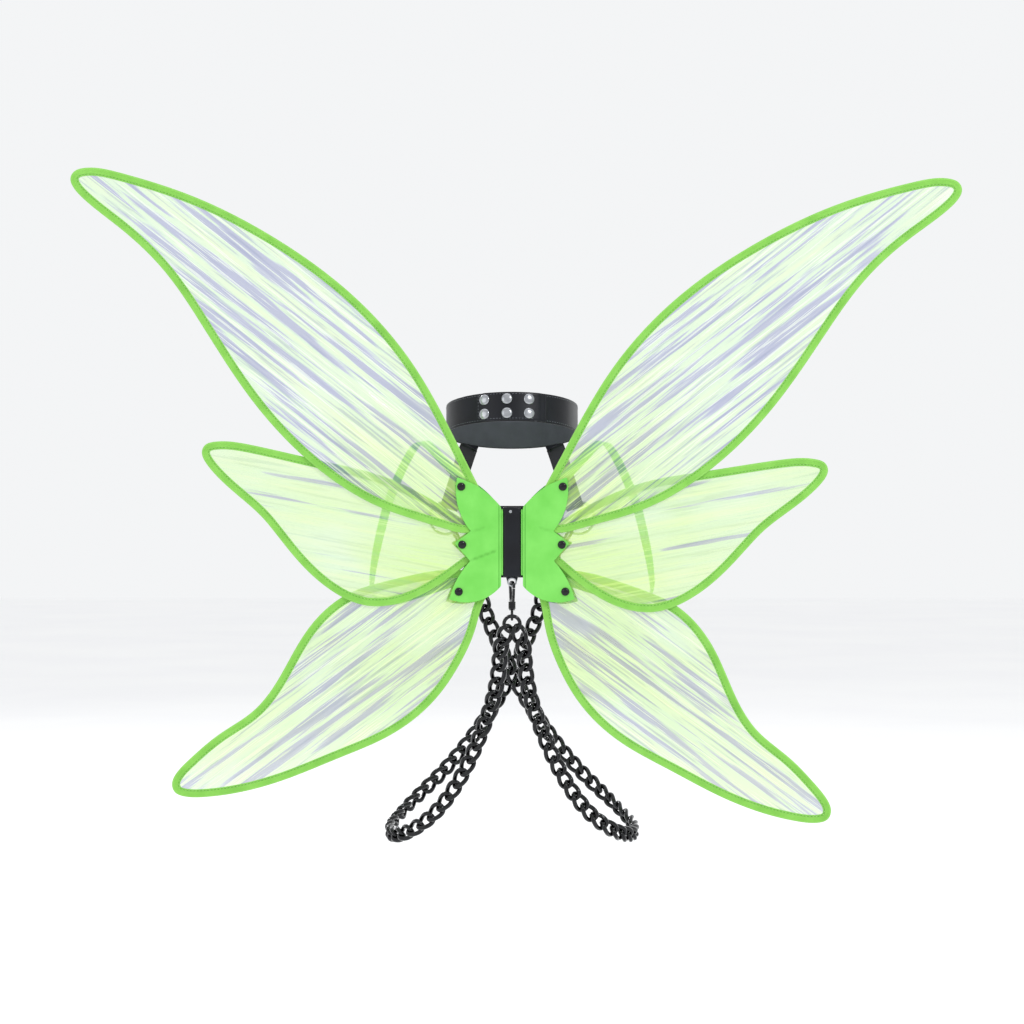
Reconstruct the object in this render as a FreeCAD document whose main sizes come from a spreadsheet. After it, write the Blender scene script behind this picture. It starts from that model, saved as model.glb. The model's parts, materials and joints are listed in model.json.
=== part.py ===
import FreeCAD, Part
import math
import os

from FreeCAD import Placement, Rotation, Vector

# Costume fairy wings worn on the back, with a neck collar and a body chain.
# Units are millimetres.  +X is the wearer's left, -Y the way the wearer faces and +Z up.
# The origin is on the wearer's back, at the middle of the spine piece's backing.

doc = FreeCAD.newDocument("FairyWings")

# ---------------------------------------------------------------- sizes

SIZES = [
    ("upper_reach", 442, "spine line to the tip of an upper wing"),
    ("middle_reach", 312, "spine line to the tip of a middle wing"),
    ("lower_reach", 329, "spine line to the tip of a lower wing"),
    ("upper_tilt", 0.8, "how far the left upper wing is turned up, the right one down"),
    ("middle_tilt", 2, "the same for the middle wings"),
    ("lower_tilt", 2.9, "the same for the lower wings"),
    ("sweep", 6, "degrees that each half leans back from the wearer"),
    ("binding_width", 8.2, "width of the tape folded over a wing's edge"),
    ("tape", 0.35, "thickness of the tape"),
    ("wire", 1.6, "thickness of the wire in a wing's edge"),
    ("wire_room", 0.05, "room between the wire and the tape on each side"),
    ("film", 0.3, "thickness of a wing's film"),
    ("layer_room", 0.4, "gap between wings that lie over each other"),
    ("plate_room", 0.25, "gap between the wings and the leather plates"),
    ("plate", 1, "thickness of a leather plate"),
    ("plate_height", 80, "height of the plates at the spine"),
    ("plate_reach", 63, "spine line to the lowest lobe's tip"),
    ("inner_longer", 2.5, "how far the inner plate's lobes pass the outer plate's"),
    ("spine_width", 18.8, "width of the padded spine"),
    ("spine_depth", 13.2, "depth of the padded spine"),
    ("spine_top", 39, "height of the spine's upper end above the origin"),
    ("spine_low", 31, "depth of the spine's lower end below the origin"),
    ("spine_wall", 1.2, "leather of the spine's cover"),
    ("spine_round", 5.4, "radius of the spine's upright edges"),
    ("backing", 1.2, "thickness of the backing that lies on the wearer"),
    ("backing_width", 50, "width of the backing"),
    ("strap_thick", 1.2, "thickness of the elastic shoulder straps"),
    ("strap_width", 10, "width of the elastic shoulder straps"),
    ("fold_room", 1, "gap between the spine and the fold line of a plate"),
    ("web_room", 0.1, "gap between the leather beside the spine and the fold line"),
    ("web_short", 1.5, "how far the leather beside the spine stops short of its ends"),
    ("rivet_shank", 2, "radius of a wing rivet's shank"),
    ("rivet_head", 4.15, "radius of a wing rivet's head"),
    ("rivet_rise", 2.6, "height of a wing rivet's dome"),
    ("running_room", 0.05, "radial room where a part turns on a pin"),
    ("collar_bore", 65, "inner radius of the neck collar"),
    ("collar_height", 30, "height of the neck collar"),
    ("lining", 1.2, "thickness of the collar's lining"),
    ("leather", 1.4, "thickness of the collar's leather"),
    ("collar_tip", 12, "degrees that the collar tips forward"),
    ("snap_room", 1.5, "gap under the collar's tab"),
    ("snap_cap", 5.5, "radius of a snap's cap"),
    ("snap_cap_rise", 2.2, "height of a snap's cap"),
    ("snap_post", 1.5, "radius of the post that holds a snap's cap"),
    ("snap_socket", 3.6, "outer radius of a snap's socket"),
    ("snap_socket_bore", 2.1, "inner radius of a snap's socket"),
    ("snap_stud", 1.6, "radius of the stud that a socket snaps on to"),
    ("snap_foot", 2.4, "radius of that stud's foot"),
    ("collar_rivet", 4.25, "radius of a collar rivet's cap"),
    ("collar_rivet_rise", 1.8, "height of a collar rivet's cap"),
    ("collar_rivet_shank", 1.5, "radius of a collar rivet's shank"),
    ("drop_width", 19, "width of the two straps under the collar"),
    ("ring_radius", 17, "radius of an O-ring, to the middle of its wire"),
    ("ring_wire", 1.5, "radius of an O-ring's wire"),
    ("ring_room", 0.2, "room round an O-ring's wire in its strap"),
    ("claw_outer", 6.4, "outer radius of a clasp's hook"),
    ("claw_inner", 3.8, "inner radius of a clasp's hook"),
    ("claw_thick", 2.6, "thickness of a clasp's hook"),
    ("hook_room", 0.5, "room between a front clasp's hook and its O-ring"),
    ("claw_turn", 70, "degrees between a hook and what it hooks on to"),
    ("eye_radius", 4.2, "radius of a clasp's eye, to the middle of its wire"),
    ("eye_wire", 1.4, "radius of the wire of a clasp's eye"),
    ("eyelet_hole", 3.3, "radius of the hole in the spine's eyelet"),
    ("eyelet_flange", 4.8, "radius of the spine's eyelet"),
    ("clasp_tab", 1.8, "thickness of the leather tab at the spine's foot"),
    ("link_width", 16.5, "outer width of a chain link"),
    ("link_wire", 1.9, "radius of a chain link's wire"),
    ("link_pitch", 14.5, "nominal spacing of the chain links"),
    ("link_slack", 0.4, "how far a link can slide in its neighbour"),
    ("joining_ring", 8, "radius of the ring where the two chains meet, to its wire's middle"),
]

sheet = doc.addObject("Spreadsheet::Sheet", "Sizes")
for row, (alias, value, meaning) in enumerate(SIZES, start=1):
    sheet.set(f"A{row}", meaning)
    sheet.set(f"B{row}", str(value))
    sheet.setAlias(f"B{row}", alias)
doc.recompute()


def size(alias):
    """The value of one cell of the sheet."""
    return float(getattr(sheet, alias))


# ---------------------------------------------------------------- places worked out from the sizes

binding_thick = size("wire") + 2 * size("wire_room") + 2 * size("tape")
layer_pitch = binding_thick + size("layer_room")
inner_plate_y = size("backing") + size("strap_thick") + 1
wings_y = inner_plate_y + size("plate") + size("plate_room") + binding_thick / 2
LAYER_Y = {
    "lower": wings_y,
    "middle": wings_y + layer_pitch,
    "upper": wings_y + 2 * layer_pitch,
}
outer_plate_y = LAYER_Y["upper"] + binding_thick / 2 + size("plate_room")
plates_back_y = outer_plate_y + size("plate")
fold_x = size("spine_width") / 2 + size("fold_room")
plate_gap = 0.5
RIVET = {
    "upper": Vector(51, 0, 59.5),
    "middle": Vector(50, 0, 1.5),
    "lower": Vector(53.5, 0, -45.5),
}
SIDES = {"left": 1, "right": -1}


def half_placement(side):
    """Turns one half, drawn flat, back about its fold line."""
    return Placement(
        Vector(0, 0, 0),
        Rotation(Vector(0, 0, 1), side * size("sweep")),
        Vector(side * fold_x, plates_back_y, 0),
    )


def wing_placement(name, side):
    """Puts one wing, drawn flat about y = 0, in its layer and turns it about its rivet."""
    turn = Placement(
        Vector(0, 0, 0),
        Rotation(Vector(0, -1, 0), size(name + "_tilt")),
        Vector(side * RIVET[name].x, 0, RIVET[name].z),
    )
    layer = Placement(Vector(0, LAYER_Y[name], 0), Rotation())
    return half_placement(side) * layer * turn


# ---------------------------------------------------------------- helpers

NODES = []


def keep(thing, label):
    """Gives a document object its node name and puts it on the list to be written."""
    thing.Label = label
    NODES.append(thing)
    return thing


def plane(body, role):
    """One of a body's own origin planes."""
    return [part for part in body.Origin.OriginFeatures if part.Role == role][0]


def draw(body, wires, name, role="XZ_Plane"):
    """A sketch on an origin plane of the body, with the edges of the wires given."""
    sketch = body.newObject("Sketcher::SketchObject", name)
    sketch.AttachmentSupport = (plane(body, role), [""])
    sketch.MapMode = "FlatFace"
    for wire in wires:
        for curve in wire:
            sketch.addGeometry(curve, False)
    return sketch


def pad(body, wires, length, name="Pad", role="XZ_Plane"):
    """A pad to both sides of the plane, its length bound to the sheet."""
    feature = body.newObject("PartDesign::Pad", name)
    feature.Profile = draw(body, wires, name + "Sketch", role)
    feature.SideType = "Symmetric"
    feature.setExpression("Length", length)
    return feature


def pocket(body, wires, length, name="Pocket", role="XZ_Plane"):
    """A pocket to both sides of the plane, its length bound to the sheet."""
    doc.recompute()
    feature = body.newObject("PartDesign::Pocket", name)
    feature.Profile = draw(body, wires, name + "Sketch", role)
    feature.SideType = "Symmetric"
    feature.setExpression("Length", length)
    return feature


def outline(*stops):
    """A closed outline through 2-D points.  A stop of two points is an arc by way of the first."""
    ends = [stop[-1] if isinstance(stop[0], tuple) else stop for stop in stops]
    curves = []
    for number, stop in enumerate(stops):
        start = Vector(*ends[number - 1], 0)
        end = Vector(*ends[number], 0)
        if isinstance(stop[0], tuple):
            curves.append(Part.Arc(start, Vector(*stop[0], 0), end))
        else:
            curves.append(Part.LineSegment(start, end))
    return curves


def round_hole(x, z, radius):
    """A circle as an outline."""
    return [Part.Circle(Vector(x, z, 0), Vector(0, 0, 1), radius)]


def mirrored(stops, side):
    """The stops of an outline, turned over for the right-hand side."""
    turned = []
    for stop in stops:
        if isinstance(stop[0], tuple):
            turned.append(tuple((side * x, z) for x, z in stop))
        else:
            turned.append((side * stop[0], stop[1]))
    return turned


def feature(label, shape, placement=None):
    """A node whose shape is made with Part's functions from the sheet's sizes."""
    part = doc.addObject("Part::Feature", "Shape")
    part.Shape = shape
    if placement is not None:
        part.Placement = placement
    return keep(part, label)


def column(radius, low, high, axis=Vector(0, 0, 1), at=Vector(0, 0, 0)):
    """A cylinder between two heights along an axis through a point."""
    return Part.makeCylinder(radius, high - low, at + axis * low, axis)


def dome(radius, rise, height, axis, at):
    """A flat-based dome standing at a height along an axis: the cap of a ball."""
    ball = (radius * radius + rise * rise) / (2 * rise)
    centre = at + axis * (height + rise - ball)
    above = column(2 * ball, height, height + 2 * rise, axis, at)
    return Part.makeSphere(ball, centre).common(above)


# ---------------------------------------------------------------- wings

# Each outline runs from the top of the root out to the tip and back below,
# in hundredths of the wing's own reach, across and up from the spine's middle.
OUTLINE = {
    "upper": [
        (6.8, 12.2), (13.6, 25.3), (22.6, 40.7), (36.2, 55.9), (54.3, 68.8), (72.4, 77.6),
        (89, 82.6), (97.2, 83.4), (99, 82.7), (99.9, 81), (99.3, 79.2), (97.4, 77),
        (89.8, 71), (79.2, 61.3), (70.1, 48.6), (58.8, 32.1), (45.2, 18.1), (29.4, 8.4),
        (15.8, 4.1), (7.7, 3.4), (4.3, 6.8),
    ],
    "middle": [
        (10.6, 5.3), (17.9, 9.8), (41.7, 21.4), (59.3, 25.3), (71.2, 27.6), (84.6, 30.1),
        (96.5, 30.6), (99, 29.6), (100, 27.1), (99.2, 24.8), (97.1, 22), (88.8, 14.4),
        (80.4, 7.4), (74.4, 0.6), (67.6, -7.1), (56.1, -16.3), (46.8, -19.9), (37.8, -19.6),
        (21.8, -11.9), (14.7, -6.4), (9.6, -3), (7, -1.6), (5.9, 0.9), (7.4, 3.6),
    ],
    "lower": [
        (11, -7.5), (21.3, -7.6), (36.5, -11.2), (50.2, -16.4), (61.7, -28), (70.8, -45.3),
        (76.6, -52.9), (86.3, -60.2), (95.4, -68.6), (98.8, -72.6), (100, -76), (99, -78.5),
        (96.7, -79.5), (90.5, -79.6), (78.7, -77.5), (65, -72.9), (49.8, -66), (37.1, -59.9),
        (28.6, -54.1), (20.7, -45.9), (14.6, -35.9), (10.2, -24.3), (8.2, -16.6), (6.8, -13.6),
        (6.4, -11), (7.6, -8.8),
    ],
}
SAMPLES = 160


def wing_edge(name, side, inset):
    """The wing's outline as one smooth closed curve, drawn in by an inset."""
    reach = size(name + "_reach") / 100
    corners = [Vector(side * x * reach, z * reach, 0) for x, z in OUTLINE[name]]
    curve = Part.BSplineCurve()
    curve.interpolate(Points=corners, PeriodicFlag=True)
    if inset == 0:
        return [curve]
    first, last = curve.FirstParameter, curve.LastParameter
    inner = []
    for number in range(SAMPLES):
        at = first + (last - first) * number / SAMPLES
        along = curve.tangent(at)[0]
        # the outlines run clockwise on the left side, so the inside is on the right there
        inward = Vector(along.y, -along.x, 0) * side
        inner.append(curve.value(at) + inward * inset)
    offset = Part.BSplineCurve()
    offset.interpolate(Points=inner, PeriodicFlag=True)
    return [offset]


def make_wing(name, hand):
    """One wing: the wire round its edge, the film in it and the tape folded over both."""
    side = SIDES[hand]
    place = wing_placement(name, side)
    wire_out = size("tape") + size("wire_room")
    wire_in = wire_out + size("wire")
    hole = round_hole(side * RIVET[name].x, RIVET[name].z, size("rivet_shank") + size("running_room"))

    tape = doc.addObject("PartDesign::Body", "Binding")
    edge = wing_edge(name, side, 0)
    inner = wing_edge(name, side, size("binding_width"))
    pad(tape, [edge, inner], "Sizes.wire + 2 * Sizes.wire_room + 2 * Sizes.tape")
    pocket(tape, [wing_edge(name, side, size("tape"))], "Sizes.wire + 2 * Sizes.wire_room")
    tape.Placement = place
    keep(tape, f"{name}_binding_{hand}")

    wire = doc.addObject("PartDesign::Body", "Wire")
    pad(wire, [wing_edge(name, side, wire_out), wing_edge(name, side, wire_in)], "Sizes.wire")
    wire.Placement = place
    keep(wire, f"{name}_wire_{hand}")

    film = doc.addObject("PartDesign::Body", "Film")
    pad(film, [wing_edge(name, side, wire_in + size("wire_room")), hole], "Sizes.film")
    film.Placement = place
    keep(film, f"{name}_film_{hand}")


for hand in SIDES:
    for name in RIVET:
        make_wing(name, hand)


# ---------------------------------------------------------------- leather plates and their rivets

def plate_stops(grow):
    """A half plate with three pointed lobes, its lobes longer by an amount."""
    near = fold_x + plate_gap
    top = size("plate_height") / 2
    far = size("plate_reach")
    return [
        (near, top - 1),
        ((22, 50.5 + grow / 2), (38, 62 + grow)),
        (55 + grow, 69 + grow),
        ((55.5, 46), (41.5, 15)),
        (57.5 + grow, 3),
        (42, -15),
        ((54, -31), (far + grow, -53 - grow)),
        ((40, -56 - grow / 2), (near, -top)),
    ]


def make_plate(label, side, grow, middle_y):
    """One leather plate, with a hole for each rivet."""
    body = doc.addObject("PartDesign::Body", "Plate")
    holes = [round_hole(side * at.x, at.z, size("rivet_shank")) for at in RIVET.values()]
    pad(body, [outline(*mirrored(plate_stops(grow), side)), *holes], "Sizes.plate")
    layer = Placement(Vector(0, middle_y, 0), Rotation())
    body.Placement = half_placement(side) * layer
    keep(body, label)


def wing_rivet(at):
    """A rivet through both plates: domed head behind, flat flange on the wearer's side."""
    back = Vector(0, 1, 0)
    head = size("rivet_head")
    flange, flange_step = 0.7, 0.6
    shank = column(size("rivet_shank"), inner_plate_y, plates_back_y, back, at)
    cap = dome(head, size("rivet_rise"), plates_back_y, back, at)
    foot = column(head - flange_step, inner_plate_y - flange, inner_plate_y, back, at)
    return shank.fuse([cap, foot]).removeSplitter()


for hand, side in SIDES.items():
    half = size("plate") / 2
    make_plate(f"outer_plate_{hand}", side, 0, outer_plate_y + half)
    make_plate(f"inner_plate_{hand}", side, size("inner_longer"), inner_plate_y + half)
    rivets = [wing_rivet(Vector(side * at.x, 0, at.z)) for at in RIVET.values()]
    feature(f"wing_rivets_{hand}", Part.makeCompound(rivets), half_placement(side))


# ---------------------------------------------------------------- spine

spine_stand = 0.2
spine_y = size("backing") + spine_stand + size("spine_depth") / 2
spine_middle = (size("spine_top") - size("spine_low")) / 2


def rounded_box(width, depth, radius):
    """A rectangle about the middle with rounded corners, as an outline."""
    x, y = width / 2, depth / 2
    corner = radius * (1 - math.sqrt(0.5))
    stops = [
        (x - radius, -y),
        ((x - corner, -y + corner), (x, -y + radius)),
        (x, y - radius),
        ((x - corner, y - corner), (x - radius, y)),
        (-x + radius, y),
        ((-x + corner, y - corner), (-x, y - radius)),
        (-x, -y + radius),
        ((-x + corner, -y + corner), (-x + radius, -y)),
    ]
    return outline(*stops)


def spine_tube(label, shell):
    """The spine's leather cover, closed at both ends, or the cord inside it."""
    wall = size("spine_wall")
    width, depth = size("spine_width"), size("spine_depth")
    body = doc.addObject("PartDesign::Body", "Spine")
    inside = rounded_box(width - 2 * wall, depth - 2 * wall, size("spine_round") - wall)
    length = "Sizes.spine_top + Sizes.spine_low"
    if shell:
        outside = rounded_box(width, depth, size("spine_round"))
        pad(body, [outside], length, "Pad", "XY_Plane")
        pocket(body, [inside], length + " - 2 * Sizes.spine_wall", "Pocket", "XY_Plane")
    else:
        pad(body, [inside], length + " - 2 * Sizes.spine_wall", "Pad", "XY_Plane")
    body.Placement = Placement(Vector(0, spine_y, spine_middle), Rotation())
    keep(body, label)


spine_tube("spine_cover", True)
spine_tube("spine_core", False)

backing_margin = 1
backing_height = size("spine_top") + size("spine_low") + 2 * backing_margin
backing = doc.addObject("PartDesign::Body", "Backing")
backing_round = 6
pad(backing, [rounded_box(size("backing_width"), backing_height, backing_round)], "Sizes.backing")
backing.Placement = Placement(Vector(0, size("backing") / 2, spine_middle), Rotation())
keep(backing, "spine_backing")

# the leather that joins each plate to the spine, and bends when the wings fold
for hand, side in SIDES.items():
    web = doc.addObject("Part::Box", "Web")
    web.setExpression("Length", "Sizes.fold_room - Sizes.web_room")
    web.setExpression("Width", "Sizes.plate")
    web.setExpression("Height", "Sizes.spine_top + Sizes.spine_low - 2 * Sizes.web_short")
    start = size("spine_width") / 2 if side > 0 else -fold_x + size("web_room")
    web.Placement = Placement(Vector(start, spine_y, size("web_short") - size("spine_low")), Rotation())
    keep(web, f"fold_web_{hand}")

# a flat tab under the spine, with the eyelet that the back clasp hooks into
eyelet_z = -size("spine_low") - size("eyelet_flange") - 0.4
tab_y = spine_y + size("spine_wall")
tab = doc.addObject("PartDesign::Body", "Tab")
reach = size("eyelet_flange")
tab_top = -size("spine_low")
tab_flare = 1.5
tab_stops = [
    (-reach - tab_flare, tab_top),
    (-reach, eyelet_z),
    ((0, eyelet_z - reach), (reach, eyelet_z)),
    (reach + tab_flare, tab_top),
]
eyelet_wall = 0.5
eyelet_barrel = size("eyelet_hole") + eyelet_wall
pad(tab, [outline(*tab_stops), round_hole(0, eyelet_z, eyelet_barrel)], "Sizes.clasp_tab")
tab.Placement = Placement(Vector(0, tab_y, 0), Rotation())
keep(tab, "clasp_tab")

back = Vector(0, 1, 0)
eyelet_at = Vector(0, tab_y, eyelet_z)
tab_half = size("clasp_tab") / 2
lip = 0.4
eyelet = column(eyelet_barrel, -tab_half, tab_half, back, eyelet_at)
for low in (-tab_half - lip, tab_half):
    eyelet = eyelet.fuse(column(size("eyelet_flange"), low, low + lip, back, eyelet_at))
hole = column(size("eyelet_hole"), -tab_half - lip, tab_half + lip, back, eyelet_at)
feature("spine_eyelet", eyelet.cut(hole).removeSplitter())

spine_rivet_at = Vector(1.5, spine_y + size("spine_depth") / 2, size("spine_top") - 4.5)
feature("spine_rivet", dome(1.6, 0.8, 0, back, spine_rivet_at))


# ---------------------------------------------------------------- collar

collar_at = Vector(0, -75, 126)
collar_place = Placement(collar_at, Rotation(Vector(1, 0, 0), size("collar_tip")))
lining_r = size("collar_bore")
band_r = lining_r + size("lining")
band_out = band_r + size("leather")
tab_r = band_out + size("snap_room")
tab_out = tab_r + size("leather")
OVERLAP = (-20, 338.2)
TAB = (-21.4, 31)
RISER = (334, 338.2)
SNAP_ANGLES = (-14, 4.2, 23.2)
SNAP_ROWS = (-7.3, 7.3)
DROP_ANGLE = 139


def polar(radius, angle, z=0):
    """A point in the collar's frame: angles run from the back towards the wearer's left."""
    turn = math.radians(angle)
    return Vector(radius * math.sin(turn), radius * math.cos(turn), z)


def sector(inner, outer, start, end, low, high):
    """Part of a round wall between two radii, two angles and two heights."""
    middle = (start + end) / 2
    corners = []
    for radius in (outer, inner):
        corners.append([polar(radius, at, low) for at in (start, middle, end)])
    far, near = corners
    edges = [
        Part.Arc(far[0], far[1], far[2]).toShape(),
        Part.LineSegment(far[2], near[2]).toShape(),
        Part.Arc(near[2], near[1], near[0]).toShape(),
        Part.LineSegment(near[0], far[0]).toShape(),
    ]
    return Part.Face(Part.Wire(edges)).extrude(Vector(0, 0, high - low))


def wall(inner, outer, start, end, low, high):
    """A sector of any angle, as two sectors joined."""
    middle = (start + end) / 2
    parts = [sector(inner, outer, a, b, low, high) for a, b in ((start, middle), (middle, end))]
    return parts[0].fuse(parts[1]).removeSplitter()


half_height = size("collar_height") / 2
tongue_half = math.degrees(size("drop_width") / 2 / band_r)
tongue_thick = 0.9
tongue_top = half_height - 7
tongue_low = -half_height - 2
tongue_room = 0.1
stud_at = [polar(band_out, angle, z) for angle in SNAP_ANGLES for z in SNAP_ROWS]


def tongue(side, room):
    """The end of a drop strap that is held between the collar's leather and its lining."""
    angle = side * DROP_ANGLE
    start, end = angle - tongue_half - room, angle + tongue_half + room
    return sector(band_r, band_r + tongue_thick, start, end, tongue_low, tongue_top + room)


collar_rivet_shank = size("collar_rivet_shank")
band = wall(band_r, band_out, *OVERLAP, -half_height, half_height)
band = band.fuse(wall(band_r, tab_out, *RISER, -half_height, half_height)).removeSplitter()
lining = wall(lining_r, band_r, *OVERLAP, -half_height, half_height)
collar_rivets = []
drop_tongues = {}
for hand, side in SIDES.items():
    out = polar(1, side * DROP_ANGLE)
    shank = column(collar_rivet_shank, lining_r, band_out, out)
    band = band.cut(tongue(side, tongue_room)).cut(shank)
    lining = lining.cut(shank)
    drop_tongues[hand] = tongue(side, 0).cut(shank)
    cap = dome(size("collar_rivet"), size("collar_rivet_rise"), band_out, out, Vector(0, 0, 0))
    collar_rivets.append(shank.fuse(cap))
feature("collar_band", band, collar_place)
feature("collar_lining", lining, collar_place)
feature("collar_rivets", Part.makeCompound(collar_rivets), collar_place)


# how an oval stud narrows as it rises: its share of the full size, and the height
STUD_STEPS = ((1, 0), (0.97, 1.2), (0.8, 2.5), (0.45, 3.3))
FRONT_STUDS = ((180, 15, 22), (156.5, 10.5, 17), (203.5, 10.5, 17))


def front_stud(angle, width, height):
    """An oval stud on the front of the collar, stepped up to a dome, with its long side upright."""
    out = polar(1, angle)
    rings = []
    for share, rise in STUD_STEPS:
        oval = Part.Ellipse(Vector(0, 0, 0), share * height / 2, share * width / 2).toShape()
        ring = Part.Wire([oval])
        facing = Rotation(Vector(0, 0, 1), Vector(0, 0, 1), out, "ZXY")
        ring.Placement = Placement(out * (band_out + rise), facing)
        rings.append(ring)
    return Part.makeLoft(rings, True, True)


studs = [front_stud(angle, width, height) for angle, width, height in FRONT_STUDS]
feature("collar_studs", Part.makeCompound(studs), collar_place)

tab_short = 0.5
tab_leather = wall(tab_r, tab_out, *TAB, -half_height + tab_short, half_height - tab_short)
snap_caps = []
snap_studs = []
# a socket hangs just clear of the tab, over a stud that ends below the socket's floor
socket_top = tab_r - 0.12
socket_low = socket_top - 1.05
socket_floor = socket_top - 0.23
stud_top = tab_r - 0.5
foot_rise = 0.2
for angle in SNAP_ANGLES:
    for z in SNAP_ROWS:
        at = Vector(0, 0, z)
        out = polar(1, angle)
        post = column(size("snap_post"), socket_floor, tab_out, out, at)
        tab_leather = tab_leather.cut(post)
        socket = column(size("snap_socket"), socket_low, socket_top, out, at)
        socket = socket.cut(column(size("snap_socket_bore"), socket_low, socket_floor, out, at))
        cap = dome(size("snap_cap"), size("snap_cap_rise"), tab_out, out, at)
        snap_caps.append(post.fuse([cap, socket]).removeSplitter())
        stud = column(size("snap_stud"), band_out, stud_top, out, at)
        foot = column(size("snap_foot"), band_out, band_out + foot_rise, out, at)
        snap_studs.append(stud.fuse(foot).removeSplitter())
feature("collar_tab", tab_leather, collar_place)
feature("snap_caps", Part.makeCompound(snap_caps), collar_place)
feature("snap_studs", Part.makeCompound(snap_studs), collar_place)


# ---------------------------------------------------------------- flat straps

def ribbon(middles, faces, width, thick):
    """A flat strap through a list of middles, its face turned to the vectors given."""
    sections = []
    last = len(middles) - 1
    for number, middle in enumerate(middles):
        along = middles[min(number + 1, last)] - middles[max(number - 1, 0)]
        across = along.cross(faces[number]).normalize()
        face = across.cross(along).normalize()
        corners = []
        for a, b in ((1, 1), (-1, 1), (-1, -1), (1, -1)):
            corners.append(middle + across * (a * width / 2) + face * (b * thick / 2))
        sections.append(Part.makePolygon(corners + corners[:1]))
    return Part.makeLoft(sections, True, True)


# O-rings: each hangs in the folded end of a drop strap on the chest
RING_AT = Vector(70, -163, 24.5)
STRAP_LEAN = 18
strap_pin_r = 1.3
strap_pin_up = 3.6
strap_cap_r = 3.6
strap_cap_rise = 1.4
strap_flat = 2
strap_fold = 7
strap_lead = 12
strap_sag = 1.5


def ring_placement(side):
    """Where an O-ring's strap end is: local +Z runs up the strap, local -Y out of the chest."""
    return Placement(
        Vector(side * RING_AT.x, RING_AT.y, RING_AT.z),
        Rotation(Vector(0, 1, 0), -side * STRAP_LEAN),
    )


def drop_strap(hand):
    """A strap from the collar down to an O-ring, folded round it and riveted to itself."""
    side = SIDES[hand]
    place = ring_placement(side)
    radius, wire = size("ring_radius"), size("ring_wire") + size("ring_room")
    width = size("drop_width")
    low = math.sqrt((radius - wire) ** 2 - width * width / 4)
    high = radius + wire
    skin = size("leather")
    flat, end_of_fold = high + strap_flat, high + strap_fold
    outer = [
        (-wire - skin, low), (-wire, low - skin), (wire, low - skin), (wire + skin, low),
        (wire + skin, high), (skin, flat), (skin, end_of_fold), (-skin, end_of_fold),
        (-skin, flat), (-wire - skin, high),
    ]
    inner = [(-wire, low), (wire, low), (wire, high), (-wire, high)]
    solids = []
    for points in (outer, inner):
        ring = [Vector(-width / 2, y, z) for y, z in points]
        solids.append(Part.Face(Part.makePolygon(ring + ring[:1])).extrude(Vector(width, 0, 0)))
    end = solids[0].cut(solids[1])
    end.Placement = place
    foot = place.multVec(Vector(0, -skin / 2, high + 2 * strap_flat))
    ahead = place.multVec(Vector(0, -skin / 2, high + strap_lead))
    start = collar_place.multVec(polar(band_r + tongue_thick / 2, side * DROP_ANGLE, tongue_low + 1))
    below = collar_place.multVec(polar(band_r + tongue_thick, side * DROP_ANGLE, tongue_low - 3))
    middle = (ahead + below) * 0.5 + Vector(0, strap_sag, 0)
    out = collar_place.Rotation.multVec(polar(1, side * DROP_ANGLE))
    chest = Vector(0, -1, 0)
    faces = [out, out, (out + chest) * 0.5, chest, chest]
    run = ribbon([start, below, middle, ahead, foot], faces, width, tongue_thick)
    top = drop_tongues[hand].copy()
    top.Placement = collar_place
    pin_at = Vector(0, 0, high + strap_pin_up)
    cap = dome(strap_cap_r, strap_cap_rise, skin, chest, pin_at)
    pin = column(strap_pin_r, -skin, skin, chest, pin_at).fuse(cap)
    pin.Placement = place
    return end.fuse([run, top]).cut(pin), pin


strap_rivets = []
for hand, side in SIDES.items():
    strap, pin = drop_strap(hand)
    feature(f"drop_strap_{hand}", strap)
    strap_rivets.append(pin)
    o_ring = doc.addObject("Part::Torus", "Ring")
    o_ring.setExpression("Radius1", "Sizes.ring_radius")
    o_ring.setExpression("Radius2", "Sizes.ring_wire")
    o_ring.Placement = ring_placement(side) * Placement(Vector(0, 0, 0), Rotation(Vector(1, 0, 0), 90))
    keep(o_ring, f"o_ring_{hand}")
feature("strap_rivets", Part.makeCompound(strap_rivets))

# elastic shoulder straps: from the backing over the shoulder, down to the armpit and back
strap_y = size("backing") + size("strap_thick") / 2
SHOULDER = [
    ((12, strap_y, 31), (0, 1, 0)),
    ((26, strap_y, 42), (0, 1, 0)),
    ((48, -1, 64), (0, 1, 0.15)),
    ((70, -12, 86), (0, 1, 0.6)),
    ((85, -36, 101), (0.1, 0.6, 1)),
    ((94, -66, 104), (0.2, 0, 1)),
    ((103, -96, 96), (0.3, -0.6, 1)),
    ((116, -119, 73), (0.4, -1, 0.5)),
    ((129, -130, 42), (0.5, -1, 0.1)),
    ((138, -130, 8), (0.7, -1, 0)),
    ((144, -117, -24), (1, -0.8, 0)),
    ((145, -95, -48), (1, -0.2, -0.3)),
    ((138, -66, -58), (1, 0.4, -0.6)),
    ((118, -38, -56), (0.8, 0.9, -0.4)),
    ((90, -18, -47), (0.5, 1, -0.2)),
    ((58, -4, -36), (0.2, 1, 0)),
    ((30, strap_y, -26), (0, 1, 0)),
    ((12, strap_y, -20), (0, 1, 0)),
]
for hand, side in SIDES.items():
    middles = [Vector(side * at[0], at[1], at[2]) for at, face in SHOULDER]
    faces = [Vector(side * face[0], face[1], face[2]) for at, face in SHOULDER]
    strap = ribbon(middles, faces, size("strap_width"), size("strap_thick"))
    feature(f"shoulder_strap_{hand}", strap)


# ---------------------------------------------------------------- clasps

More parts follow.
